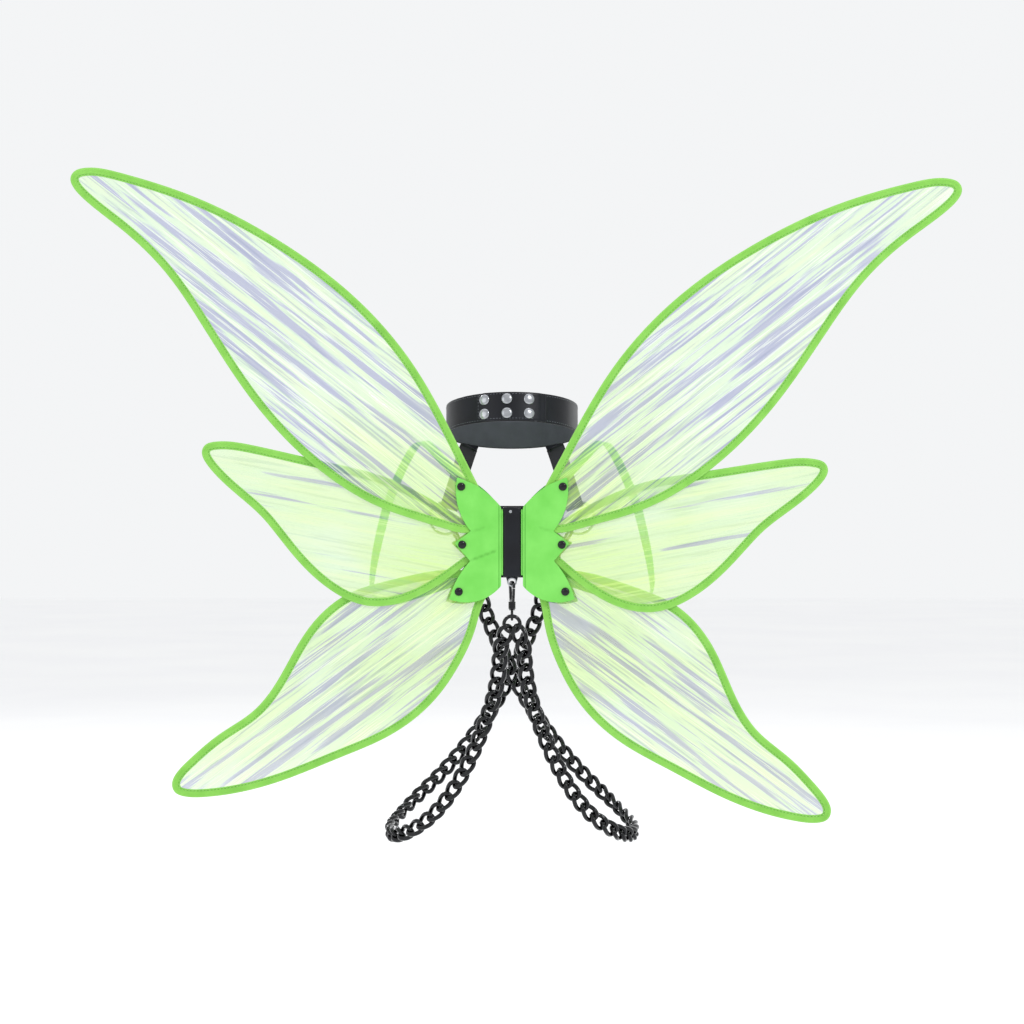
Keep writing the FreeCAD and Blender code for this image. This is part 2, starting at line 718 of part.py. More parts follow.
# in a clasp's own frame its hook's middle is the origin, its gate is at -X and its barrel at -Z
PIVOT = (-3.9, -10.3)
PIVOT_R = 1.9
PIN_R = 0.6
NECK_HALF = 4.4
NECK_LOW = -15
BARREL = (-22, -14.5)
BARREL_R = 3.6
BARREL_WALL = 0.9
CHAMBER = (-20.4, -16)
STEM_R = 1.5
MOUTH_TOP = -0.9
MOUTH_SIDE = -8
FORK_WALL = 0.6
FORK_REACH = 2.2
GATE_ROOM = 0.1
EYE_Z = BARREL[0] - 0.7 - size("eye_radius") - size("eye_wire")
HOOK_DROP = size("eye_radius") - EYE_Z


def clasp_frame(centre, down, bar):
    """The placement of a clasp: local -Z runs down it, its hook turned from the bar it holds."""
    up = down * -1
    bar = (bar - up * bar.dot(up)).normalize()
    across = up.cross(bar) * -1
    turn = math.radians(size("claw_turn"))
    x_axis = bar * math.cos(turn) + across * math.sin(turn)
    y_axis = up.cross(x_axis)
    return Placement(centre, Rotation(x_axis, y_axis, up, "ZXY"))


def make_claw(label, place):
    """The clasp's body: a flat hook, open at one side for its gate, on a hollow barrel."""
    out, inn = size("claw_outer"), size("claw_inner")
    px, pz = PIVOT
    body = doc.addObject("PartDesign::Body", "Claw")
    outside = outline((NECK_HALF, NECK_LOW), (out, 0), ((0, out), (-out, 0)), (-NECK_HALF, NECK_LOW))
    inside = outline((inn, 0), ((0, inn), (-inn, 0)), (-2.4, -11), ((0, -12.6), (2.4, -11)))
    pad(body, [outside, inside], "Sizes.claw_thick", "Hook")
    right, left = px + PIVOT_R, px - PIVOT_R
    mouth = outline(
        (MOUTH_SIDE, MOUTH_TOP),
        (right, MOUTH_TOP),
        (right, pz),
        ((px, pz + PIVOT_R), (left, pz)),
        (MOUTH_SIDE, pz),
    )
    pocket(body, [mouth], "2 * Sizes.claw_thick", "Mouth")
    fork_side, fork_low, fork_top = right + 0.4, pz - FORK_REACH, pz + FORK_REACH
    corners = [(MOUTH_SIDE, fork_low), (fork_side, fork_low), (fork_side, fork_top), (MOUTH_SIDE, fork_top)]
    pocket(body, [outline(*corners)], f"Sizes.claw_thick - {2 * FORK_WALL}", "Fork")
    doc.recompute()
    pin = column(PIN_R, -size("claw_thick") / 2, size("claw_thick") / 2, Vector(0, 1, 0), Vector(px, 0, pz))
    barrel = column(BARREL_R, *BARREL)
    chamber = column(BARREL_R - BARREL_WALL, *CHAMBER)
    bore = column(STEM_R + size("running_room"), BARREL[0], CHAMBER[0])
    shape = body.Shape.fuse([pin, barrel]).cut(chamber.fuse(bore)).removeSplitter()
    feature(label, shape, place)


def make_gate(label, place):
    """The clasp's sprung gate: a finger across the mouth, with an eye on the pin."""
    px, pz = PIVOT
    finger = PIVOT_R + 1.5 * GATE_ROOM
    turn = math.radians(40)
    side, rise = finger * math.cos(turn), finger * math.sin(turn)
    out, inn = size("claw_outer"), size("claw_inner")
    # the outer corner is lower, because it swings up as the gate opens
    stops = outline(
        (-out + 2 * GATE_ROOM, MOUTH_TOP - 5.5 * GATE_ROOM),
        (-inn - GATE_ROOM, MOUTH_TOP - 2 * GATE_ROOM),
        (px + side, pz + rise),
        ((px, pz + finger), (px - side, pz + rise)),
    )
    body = doc.addObject("PartDesign::Body", "Gate")
    pad(body, [stops], f"Sizes.claw_thick - {2 * GATE_ROOM}", "Finger")
    doc.recompute()
    y = Vector(0, 1, 0)
    at = Vector(px, 0, pz)
    eye_half = size("claw_thick") / 2 - FORK_WALL - GATE_ROOM
    eye = column(PIVOT_R - 3 * GATE_ROOM, -eye_half, eye_half, y, at)
    neck_width, neck_height = 2.2, 3.4
    neck = Part.makeBox(neck_width, 2 * eye_half, neck_height, Vector(px - neck_width / 2, -eye_half, pz))
    hole = column(PIN_R + size("running_room"), -eye_half, eye_half, y, at)
    shape = body.Shape.fuse([eye, neck]).cut(hole).removeSplitter()
    feature(label, shape, place)


def swivel_eye(place, roll_axis):
    """The eye that turns in a clasp's barrel; its ring's own axis is turned to roll_axis."""
    low, floor = BARREL[0], CHAMBER[0]
    stem = column(STEM_R, low - 1.6, floor + 1)
    head = column(STEM_R + 1, floor + 0.3, floor + 2)
    flange = column(BARREL_R - 0.4, low - 1.2, low - 0.3)
    local = place.inverse().Rotation.multVec(roll_axis)
    local = Vector(local.x, local.y, 0).normalize()
    ring = Part.makeTorus(size("eye_radius"), size("eye_wire"), Vector(0, 0, EYE_Z), local)
    shape = stem.fuse([head, flange, ring]).removeSplitter()
    shape.Placement = place
    return shape


spine_clasp = clasp_frame(
    Vector(0, tab_y, eyelet_z - (size("claw_outer") + size("claw_inner")) / 2),
    Vector(0, 0, -1),
    Vector(1, 0, 0),
)
CLASP_RUN = Vector(-0.5, -0.13, -0.85).normalize()


def front_clasp(side):
    """A clasp that hangs on the lower inner side of an O-ring, in line with its chain."""
    down = Vector(side * CLASP_RUN.x, CLASP_RUN.y, CLASP_RUN.z)
    flat = Vector(down.x, 0, down.z).normalize()
    centre = Vector(side * RING_AT.x, RING_AT.y, RING_AT.z)
    wire_at = centre + flat * size("ring_radius")
    hook = size("claw_inner") - size("ring_wire") - size("hook_room")
    return clasp_frame(wire_at + down * hook, down, Vector(flat.z, 0, -flat.x))


CLASPS = {"spine": spine_clasp, "left": front_clasp(1), "right": front_clasp(-1)}
for name, place in CLASPS.items():
    make_claw(f"clasp_hook_{name}", place)
    make_gate(f"clasp_gate_{name}", place)


# ---------------------------------------------------------------- chain

link_half = (size("link_pitch") + size("link_slack")) / 2
link_side = size("link_width") / 2 - size("link_wire")


def link_shape():
    """One chain link along local X, its flat side across local Y: two bows and two straights."""
    wire = size("link_wire")
    reach = link_half + wire - link_side
    parts = []
    for end in (1, -1):
        bow = Part.makeTorus(link_side, wire, Vector(0, 0, 0), Vector(0, 0, 1), 0, 360, 180)
        bow.Placement = Placement(Vector(end * reach, 0, 0), Rotation(Vector(0, 0, 1), -90 * end))
        parts.append(bow)
        parts.append(column(wire, -reach, reach, Vector(1, 0, 0), Vector(0, end * link_side, 0)))
    return parts[0].fuse(parts[1:]).removeSplitter()


def clasp_end(place):
    """Where a chain's last link bears on a clasp's eye, and the way the clasp points."""
    down = place.Rotation.multVec(Vector(0, 0, -1))
    return place.Base + down * (HOOK_DROP - size("eye_wire")), down


eye_wire_at, eye_down = clasp_end(CLASPS["spine"])
joining_at = eye_wire_at + eye_down * (size("joining_ring") - size("link_wire") - 0.15)
JOIN_ANGLE = 38
TWIST = 5
lead_run = 8
tail_run = 13
straight_links = 3
body_middle_y = -95
# the left chain: from the joining ring round the wearer's left side to the right-hand O-ring
ROUTE = [
    (12, 4, -107), (14, -4, -130), (19, -11, -155), (29, -16, -184),
    (42, -20, -216), (59, -23, -247), (81, -29, -275), (104, -42, -292), (121, -67, -299),
    (127, -97, -297), (120, -127, -288), (101, -151, -270), (75, -167, -246),
    (49, -177, -217), (24, -183, -183),
]
CROSSING = {
    "left": [(1, -192, -142), (-17, -188, -103), (-31, -183, -66)],
    "right": [(1, -178, -142), (-17, -180, -103), (-31, -180, -66)],
}


def chain_route(hand):
    """The smooth line along which the chain's joints lie, from the back to the front."""
    side = SIDES[hand]
    other = "right" if hand == "left" else "left"
    angle = math.radians(JOIN_ANGLE)
    lead = Vector(side * math.sin(angle), 0, -math.cos(angle))
    bear = size("link_wire") + size("link_slack") / 2
    start = joining_at + lead * (size("joining_ring") - bear)
    end, down = clasp_end(CLASPS[other])
    points = [start, start + lead * lead_run]
    points += [Vector(side * x, y, z) for x, y, z in ROUTE + CROSSING[hand]]
    points += [end + down * tail_run, end]
    curve = Part.BSplineCurve()
    curve.interpolate(Points=points)
    return curve


def make_chain(hand):
    """The links of one chain, each turned a quarter turn and a little more from the last."""
    curve = chain_route(hand)
    length = curve.length()
    count = round(length / size("link_pitch"))
    joints = [curve.value(curve.parameterAtDistance(length * n / count)) for n in range(count + 1)]
    link = link_shape()
    links = []
    for number in range(count):
        start, end = joints[number], joints[number + 1]
        along = (end - start).normalize()
        middle = (start + end) * 0.5
        out = Vector(middle.x, middle.y - body_middle_y, 0)
        if number < straight_links:
            out = Vector(0, 1, 0)
        out = (out - along * out.dot(along)).normalize()
        over = along.cross(out)
        turn = math.radians(90 * number + TWIST * number)
        across = out * math.cos(turn) + over * math.sin(turn)
        normal = along.cross(across)
        copy = link.copy()
        copy.Placement = Placement(middle, Rotation(along, across, normal, "ZXY"))
        links.append(copy)
    print(f"{hand} chain: {count} links, {length:.0f} mm")
    return links, across


eyes = [swivel_eye(CLASPS["spine"], Vector(1, 0, 0))]
for hand in SIDES:
    other = "right" if hand == "left" else "left"
    links, last_across = make_chain(hand)
    feature(f"chain_{hand}", Part.makeCompound(links))
    eyes.append(swivel_eye(CLASPS[other], last_across))
feature("swivel_eyes", Part.makeCompound(eyes))
joining = Part.makeTorus(size("joining_ring"), size("link_wire"), joining_at, Vector(0, 1, 0))
feature("joining_ring", joining)


# ---------------------------------------------------------------- checks and files

doc.recompute()
faults = []
for thing in doc.Objects:
    if "Invalid" in thing.State or "Error" in thing.State:
        faults.append(f"{thing.Label}: {thing.State}")
for part in NODES:
    if part.Shape.isNull() or not part.Shape.isValid():
        faults.append(f"{part.Label}: shape is null or not valid")
    elif not part.Shape.Solids:
        faults.append(f"{part.Label}: no solid")
if faults:
    raise RuntimeError("; ".join(faults))

os.makedirs("parts", exist_ok=True)
for part in NODES:
    part.Shape.exportStep(f"parts/{part.Label}.step")
print(len(NODES), "nodes written")
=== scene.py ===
# %% [markdown]
# # Costume fairy wings, worn on the back
#
# Six wings of clear crinkled film, each with a wire edge folded into green tape, are riveted between
# two layers of green leather.  A padded black spine joins the two halves.  Elastic straps hold it on
# the shoulders, and a neck collar with two O-rings carries a black chain that crosses the chest and
# comes together at the foot of the spine.
#
# The measured model is loaded first.  It is the frame that every piece below is built on, so each
# place in this lesson is read from it or is a size of the real thing in millimetres.

import json
import math

import bmesh
import bpy
import numpy as np
from mathutils import Matrix, Vector, noise


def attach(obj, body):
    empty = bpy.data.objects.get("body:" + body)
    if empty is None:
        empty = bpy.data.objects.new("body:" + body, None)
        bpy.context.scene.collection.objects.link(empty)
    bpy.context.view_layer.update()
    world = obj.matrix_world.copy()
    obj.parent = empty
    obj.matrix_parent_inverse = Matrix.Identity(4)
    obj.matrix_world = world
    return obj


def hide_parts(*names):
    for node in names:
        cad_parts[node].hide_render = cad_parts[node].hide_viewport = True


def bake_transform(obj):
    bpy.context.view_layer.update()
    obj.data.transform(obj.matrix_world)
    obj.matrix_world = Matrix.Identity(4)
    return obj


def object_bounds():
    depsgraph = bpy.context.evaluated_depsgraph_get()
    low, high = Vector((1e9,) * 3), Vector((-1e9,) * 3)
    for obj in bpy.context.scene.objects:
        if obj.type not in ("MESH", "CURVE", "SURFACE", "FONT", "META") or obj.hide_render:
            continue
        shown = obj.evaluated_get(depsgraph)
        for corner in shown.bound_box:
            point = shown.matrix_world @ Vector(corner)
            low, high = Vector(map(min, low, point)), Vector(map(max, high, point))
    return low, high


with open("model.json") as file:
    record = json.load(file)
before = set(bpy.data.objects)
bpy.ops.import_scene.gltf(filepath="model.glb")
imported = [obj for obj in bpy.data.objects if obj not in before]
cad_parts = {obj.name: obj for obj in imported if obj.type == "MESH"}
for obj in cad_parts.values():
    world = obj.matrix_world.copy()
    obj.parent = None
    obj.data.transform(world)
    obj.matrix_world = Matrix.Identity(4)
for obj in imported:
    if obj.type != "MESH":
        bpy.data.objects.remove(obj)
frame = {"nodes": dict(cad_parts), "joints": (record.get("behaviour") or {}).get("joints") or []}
CAD_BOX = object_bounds()
NODES = frame["nodes"]
JOINTS = {joint["name"]: joint for joint in frame["joints"]}
SIDES = {"left": 1, "right": -1}


def mm(value):
    """Millimetres as metres, which is Blender's unit."""
    return value / 1000


# %% [markdown]
# ## Looking at it: camera, light and floor
#
# The wings are best known from behind, with the wearer's back towards the viewer, so the camera
# stands behind and level with the shoulder blades.  It stands more than three metres off with a long
# lens, as in a catalogue, because a short lens close up would spread the near wings.
#
# Clear film shows itself by what it mirrors.  Soft area lamps give each crease a streak of light and
# each rivet one small highlight, and a pale world fills the rest, so that nothing looks hard or dark.

# %% Camera
low, high = Vector(CAD_BOX[0]), Vector(CAD_BOX[1])
middle = (low + high) / 2
CAMERA_DISTANCE = 3.2
camera = bpy.data.cameras.new("long_lens")
camera.lens = 112
camera.sensor_width = 36
eye = bpy.data.objects.new("camera", camera)
aim = Vector((0, 0, middle.z))
eye.location = aim + Vector((0, CAMERA_DISTANCE, mm(60)))
eye.rotation_euler = (aim - eye.location).to_track_quat("-Z", "Y").to_euler()
bpy.context.scene.collection.objects.link(eye)
bpy.context.scene.camera = eye
print("camera", tuple(round(c, 3) for c in eye.location), "aims at", tuple(round(c, 3) for c in aim))


# %% Lamps and world
def softbox(name, place, width, height, watts, colour=(1, 1, 1)):
    """A large soft lamp that faces the object."""
    lamp = bpy.data.lights.new(name, "AREA")
    lamp.shape = "RECTANGLE"
    lamp.size, lamp.size_y = width, height
    lamp.energy = watts
    lamp.color = colour
    holder = bpy.data.objects.new(name, lamp)
    holder.location = place
    holder.rotation_euler = (middle - Vector(place)).to_track_quat("-Z", "Y").to_euler()
    bpy.context.scene.collection.objects.link(holder)


softbox("key", (-1.5, 2.2, 1.9), 0.42, 0.42, 22)
softbox("fill", (2.1, 2.0, 0.9), 1.6, 1.6, 7)
softbox("top", (0, 0.1, 2.6), 2.2, 1.4, 7)
softbox("front_key", (1.4, -2.3, 1.7), 0.42, 0.42, 20)
softbox("front_fill", (-2.0, -2.0, 0.8), 1.5, 1.5, 6)

world = bpy.data.worlds.new("pale_studio")
world.use_nodes = True
world.node_tree.nodes["Background"].inputs["Color"].default_value = (0.95, 0.96, 0.97, 1)
world.node_tree.nodes["Background"].inputs["Strength"].default_value = 0.95
bpy.context.scene.world = world
bpy.context.scene.view_settings.view_transform = "Standard"

# %% [markdown]
# ## Colours and nodes
#
# Colours are picked as sRGB hex values, as on a swatch card, and Blender's shaders want linear light,
# so one function turns the one into the other.  One more function adds a node to a material with its
# settings and its links, and every finish below is made with it.


# %% Colour and node helpers
def colour(code):
    """An sRGB hex colour as linear light with full alpha."""
    parts = [int(code[i:i + 2], 16) / 255 for i in (1, 3, 5)]
    return [c / 12.92 if c <= 0.04045 else ((c + 0.055) / 1.055) ** 2.4 for c in parts] + [1.0]


def add(tree, kind, settings=None, links=None):
    """Adds a node, with values for its properties or sockets and links into its sockets."""
    node = tree.nodes.new(kind)
    for name, value in (settings or {}).items():
        if name in node.inputs:
            node.inputs[name].default_value = value
        else:
            setattr(node, name, value)
    for name, source in (links or {}).items():
        tree.links.new(source, node.inputs[name])
    return node


def ramp(tree, factor, *stops):
    """A colour ramp through stops of position and hex colour."""
    node = add(tree, "ShaderNodeValToRGB", links={"Fac": factor})
    while len(node.color_ramp.elements) < len(stops):
        node.color_ramp.elements.new(0.5)
    for element, (place, code) in zip(node.color_ramp.elements, stops):
        element.position = place
        element.color = colour(code)
    return node.outputs["Color"]


def math_node(tree, operation, a, b, clamp=False):
    """One sum: a and b are sockets or plain numbers."""
    node = add(tree, "ShaderNodeMath", {"operation": operation, "use_clamp": clamp})
    for number, value in enumerate((a, b)):
        if isinstance(value, (int, float)):
            node.inputs[number].default_value = value
        else:
            tree.links.new(value, node.inputs[number])
    return node.outputs["Value"]


def new_finish(name, **constants):
    """An empty material with one Principled shader, whose plain settings are given by name."""
    finish = bpy.data.materials.new(name)
    finish.use_nodes = True
    tree = finish.node_tree
    tree.nodes.clear()
    shader = add(tree, "ShaderNodeBsdfPrincipled", {k.replace("_", " "): v for k, v in constants.items()})
    add(tree, "ShaderNodeOutputMaterial", links={"Surface": shader.outputs["BSDF"]})
    return finish, tree, shader


def wire_up(tree, shader, **sources):
    """Links sources into the shader's sockets by name."""
    for name, source in sources.items():
        tree.links.new(source, shader.inputs[name.replace("_", " ")])


def bumped(tree, shader, height, depth, strength=1.0):
    """Bump of a depth in metres from a height between 0 and 1."""
    bump = add(tree, "ShaderNodeBump", {"Distance": depth, "Strength": strength}, {"Height": height})
    wire_up(tree, shader, Normal=bump.outputs["Normal"])


def floor_finish():
    """Matt seamless paper: pale, even and without shine, so that it takes soft shadows only."""
    finish, tree, shader = new_finish("seamless_paper", Roughness=0.9)
    place = add(tree, "ShaderNodeTexCoord").outputs["Object"]
    mottle = add(tree, "ShaderNodeTexNoise", {"Scale": 3.0, "Detail": 2.0}, {"Vector": place})
    shade = ramp(tree, mottle.outputs["Fac"], (0.3, "#FAFAFB"), (0.7, "#FDFDFD"))
    wire_up(tree, shader, Base_Color=shade)
    return finish


print("helpers for colours and nodes are ready")

# %% Floor
bm = bmesh.new()
bmesh.ops.create_grid(bm, x_segments=2, y_segments=2, size=9)
bmesh.ops.translate(bm, vec=(0, 0, low.z - mm(160)), verts=bm.verts)
floor_mesh = bpy.data.meshes.new("floor")
bm.to_mesh(floor_mesh)
bm.free()
floor = bpy.data.objects.new("floor", floor_mesh)
floor.data.materials.append(floor_finish())
bpy.context.scene.collection.objects.link(floor)
print("floor at", round(low.z - mm(160), 3))

# %% [markdown]
# ## Two ways of making a shape
#
# Nearly everything here is a strip: tape round a wing, a collar, a strap.  A strip is modelled as it
# is rolled: one long row of vertices along the strip is extruded from corner to corner of its cross
# section until it meets itself.  Twenty extrusions then make a strip of any length, and each vertex
# keeps how far it lies along and across, which the weave and the stitches follow.
#
# Metal caps and rivets are turned, so their half section is spun about an axis.


# %% Strips and turned parts
def grow(bm, row, points, closed):
    """Extrudes a row of vertices once, puts the new row on the points and returns it."""
    members = set(row)
    pairs = list(zip(row, row[1:] + row[:1])) if closed else list(zip(row, row[1:]))
    edges = [bm.edges.get(pair) for pair in pairs]
    made = bmesh.ops.extrude_edge_only(bm, edges=edges)["geom"]
    partner = {}
    for vert in made:
        if isinstance(vert, bmesh.types.BMVert):
            for edge in vert.link_edges:
                if edge.other_vert(vert) in members:
                    partner[edge.other_vert(vert)] = vert
    fresh = [partner[vert] for vert in row]
    for vert, point in zip(fresh, points):
        vert.co = point
    return fresh


def strip(bm, stations, section, closed=False, ripple=None):
    """A solid strip.  Each station is (point, across, face); the section is a closed list of
    (across, face) in metres.  ripple(number, corner) adds a height along the face."""
    along_layer = bm.verts.layers.float.get("along") or bm.verts.layers.float.new("along")
    across_layer = bm.verts.layers.float.get("across") or bm.verts.layers.float.new("across")
    runs = [0.0]
    for before, after in zip(stations, stations[1:]):
        runs.append(runs[-1] + (after[0] - before[0]).length)

    def line(corner):
        a, f = section[corner]
        extra = [ripple(n, corner) if ripple else 0.0 for n in range(len(stations))]
        return [at + across * a + face * (f + e) for (at, across, face), e in zip(stations, extra)]

    def note(row, corner):
        for vert, run in zip(row, runs):
            vert[along_layer] = run
            vert[across_layer] = section[corner][0]

    first = [bm.verts.new(point) for point in line(0)]
    rows = list(zip(first, first[1:] + first[:1])) if closed else list(zip(first, first[1:]))
    for pair in rows:
        bm.edges.new(pair)
    note(first, 0)
    row = first
    whole = list(first)
    for corner in range(1, len(section)):
        row = grow(bm, row, line(corner), closed)
        note(row, corner)
        whole += row
    row = grow(bm, row, line(0), closed)
    note(row, 0)
    whole += row
    bmesh.ops.remove_doubles(bm, verts=whole, dist=1e-7)
    if not closed:
        ends = [edge for edge in bm.edges if edge.is_boundary]
        bmesh.ops.holes_fill(bm, edges=ends, sides=0)
    bmesh.ops.recalc_face_normals(bm, faces=bm.faces)


print("strips can be swept along a row of stations")

# %% Turned parts, finished pieces and stitches
def turned(bm, half_section, place, steps=28):
    """Spins a half section of (radius, height) about the local Z axis of a placement."""
    row = [bm.verts.new(place @ Vector((radius, 0, height))) for radius, height in half_section]
    edges = [bm.edges.new(pair) for pair in zip(row, row[1:])]
    axis = (place.to_3x3() @ Vector((0, 0, 1))).normalized()
    bmesh.ops.spin(bm, geom=row + edges, cent=place.translation, axis=axis, angle=math.tau,
                   steps=steps, use_merge=True)
    bmesh.ops.remove_doubles(bm, verts=bm.verts, dist=1e-7)
    bmesh.ops.recalc_face_normals(bm, faces=bm.faces)


def piece(name, bm, body, finish, stands_for=(), smooth=True):
    """Makes an object of a bmesh, gives it its finish and lets it ride on its body."""
    mesh = bpy.data.meshes.new(name)
    bm.to_mesh(mesh)
    bm.free()
    thing = bpy.data.objects.new(name, mesh)
    bpy.context.scene.collection.objects.link(thing)
    mesh.materials.append(finish)
    for polygon in mesh.polygons:
        polygon.use_smooth = smooth
    if body:
        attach(thing, body)
    if stands_for:
        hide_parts(*stands_for)
    return thing


def frame_at(point, z_axis, x_hint=Vector((1, 0, 0))):
    """A placement whose Z axis points one way and whose X axis is near another."""
    z = Vector(z_axis).normalized()
    x = (x_hint - z * x_hint.dot(z)).normalized()
    matrix = Matrix((x, z.cross(x), z)).transposed().to_4x4()
    matrix.translation = point
    return matrix


def stitches(bm, points, faces, pitch, length, thick):
    """A run of sewn stitches on a line: each one a short bead of thread lying along it."""
    spots = np.array([tuple(p) for p in points])
    steps = np.linalg.norm(np.diff(spots, axis=0), axis=1)
    runs = np.concatenate([[0], np.cumsum(steps)])
    count = int(runs[-1] / pitch)
    for number in range(count):
        at = (number + 0.5) * runs[-1] / count
        index = min(int(np.searchsorted(runs, at, side="right")) - 1, len(points) - 2)
        share = (at - runs[index]) / max(steps[index], 1e-9)
        centre = points[index].lerp(points[index + 1], share)
        along = (points[index + 1] - points[index]).normalized()
        face = faces[index].normalized()
        side = face.cross(along).normalized()
        matrix = Matrix((along * length / 2, side * thick / 2, face * thick / 2)).transposed().to_4x4()
        matrix.translation = centre + face * thick * 0.2
        bmesh.ops.create_icosphere(bm, subdivisions=1, radius=1, matrix=matrix)
    return count


print("strips, turned parts and stitches are ready")

# %% [markdown]
# ## The lie of each wing
#
# A wing is flat, and it turns about its rivet, so the joint gives a point in its plane and the way
# its flat side faces.  In that plane, `out` runs away from the spine and up is up.  The outline is
# read from the measured tape: its flat side is one ring of faces, whose two borders are the wing's
# outer edge and the tape's inner edge.  They are sampled evenly, a sample every 1.5 mm, because the
# measured mesh has long straight runs and short ones.


# %% Wing planes and outlines
class Lie:
    """The plane of one wing, with turns between its own 2-D places and the world's."""

    def __init__(self, wing, hand):
        joint = JOINTS[f"fan_{wing}_{hand}"]
        self.pivot = Vector(joint["pos_m"])
        self.back = Vector(joint["axis"]) * -SIDES[hand]
        if self.back.y < 0:
            self.back = -self.back
        self.out = Vector((0, 0, 1)).cross(self.back) * -SIDES[hand]
        if self.out.x * SIDES[hand] < 0:
            self.out = -self.out
        self.up = Vector((0, 0, 1))

    def to_world(self, a, b, height=0.0):
        return self.pivot + self.out * a + self.up * b + self.back * height


def even_loop(points, spacing, start):
    """A closed line sampled evenly, its first sample the one nearest to the start."""
    points = np.array(points)
    points = np.roll(points, -int(np.argmin(np.linalg.norm(points - start, axis=1))), axis=0)
    ring = np.vstack([points, points[:1]])
    runs = np.concatenate([[0], np.cumsum(np.linalg.norm(np.diff(ring, axis=0), axis=1))])
    count = int(round(runs[-1] / spacing))
    at = np.linspace(0, runs[-1], count, endpoint=False)
    even = np.column_stack([np.interp(at, runs, ring[:, k]) for k in (0, 1)])
    weights = np.array([1, 4, 6, 4, 1]) / 16
    for _ in range(2):
        even = sum(w * np.roll(even, k, axis=0) for w, k in zip(weights, (-2, -1, 0, 1, 2)))
    return even, runs[-1]


def rim_of(node, lie):
    """The outer border of the flat back face of a measured tape, in the wing's plane."""
    bm = bmesh.new()
    bm.from_mesh(NODES[node].data)
    bmesh.ops.remove_doubles(bm, verts=bm.verts, dist=1e-6)
    bm.normal_update()
    heights = [(v.co - lie.pivot).dot(lie.back) for v in bm.verts]
    top = max(heights)
    flat = {f for f in bm.faces if all(abs((v.co - lie.pivot).dot(lie.back) - top) < 2e-5 for v in f.verts)}
    nexts = {}
    for face in flat:
        for edge in face.edges:
            if sum(f in flat for f in edge.link_faces) == 1:
                for vert in edge.verts:
                    nexts.setdefault(vert, []).append(edge.other_vert(vert))
    loops = []
    left = set(nexts)
    while left:
        start = min(left, key=lambda v: v.index)
        chain, here = [start], start
        left.discard(start)
        while True:
            ahead = [v for v in nexts[here] if v in left]
            if not ahead:
                break
            here = ahead[0]
            left.discard(here)
            chain.append(here)
        loops.append([((v.co - lie.pivot).dot(lie.out), (v.co - lie.pivot).z) for v in chain])
    bm.free()
    return max(loops, key=lambda c: np.ptp(np.array(c)[:, 0]) + np.ptp(np.array(c)[:, 1]))


WING_NAMES = ("upper", "middle", "lower")
LIES, RIMS, LENGTHS = {}, {}, {}
for hand in SIDES:
    for wing in WING_NAMES:
        key = (wing, hand)
        LIES[key] = Lie(wing, hand)
        outline = rim_of(f"{wing}_binding_{hand}", LIES[key])
        RIMS[key], LENGTHS[key] = even_loop(outline, mm(1.5), np.array([-mm(40), 0.0]))
        print(wing, hand, len(RIMS[key]), "samples,", round(LENGTHS[key] * 1000), "mm round")


# %% Inward directions of an outline
def inward_of(rim):
    """The unit direction towards the inside at each sample of a closed outline."""
    ahead = np.roll(rim, -2, axis=0) - np.roll(rim, 2, axis=0)
    ahead /= np.linalg.norm(ahead, axis=1)[:, None]
    turned_left = np.column_stack([-ahead[:, 1], ahead[:, 0]])
    area = np.sum(rim[:, 0] * np.roll(rim[:, 1], -1) - np.roll(rim[:, 0], -1) * rim[:, 1])
    return turned_left if area > 0 else -turned_left


print("an outline can now tell which way is in")


# %% [markdown]
# ## The tape round each wing
#
# The edge of a wing is a wire in a folded bias tape: a strip of woven polyester cut on the slant so
# that it bends round curves, folded over the wire and the film, and sewn through near its inner edge.
# So its cross section is fat where the wire is, thin beyond it, and pressed in at the seam.  The
# tape puckers a little between stitches, more on tight bends, so its height carries a slow ripple.
#
# The weave is finer than the picture can show: real threads are 0.2 mm apart, and the twill lines
# here are drawn 1 mm apart.


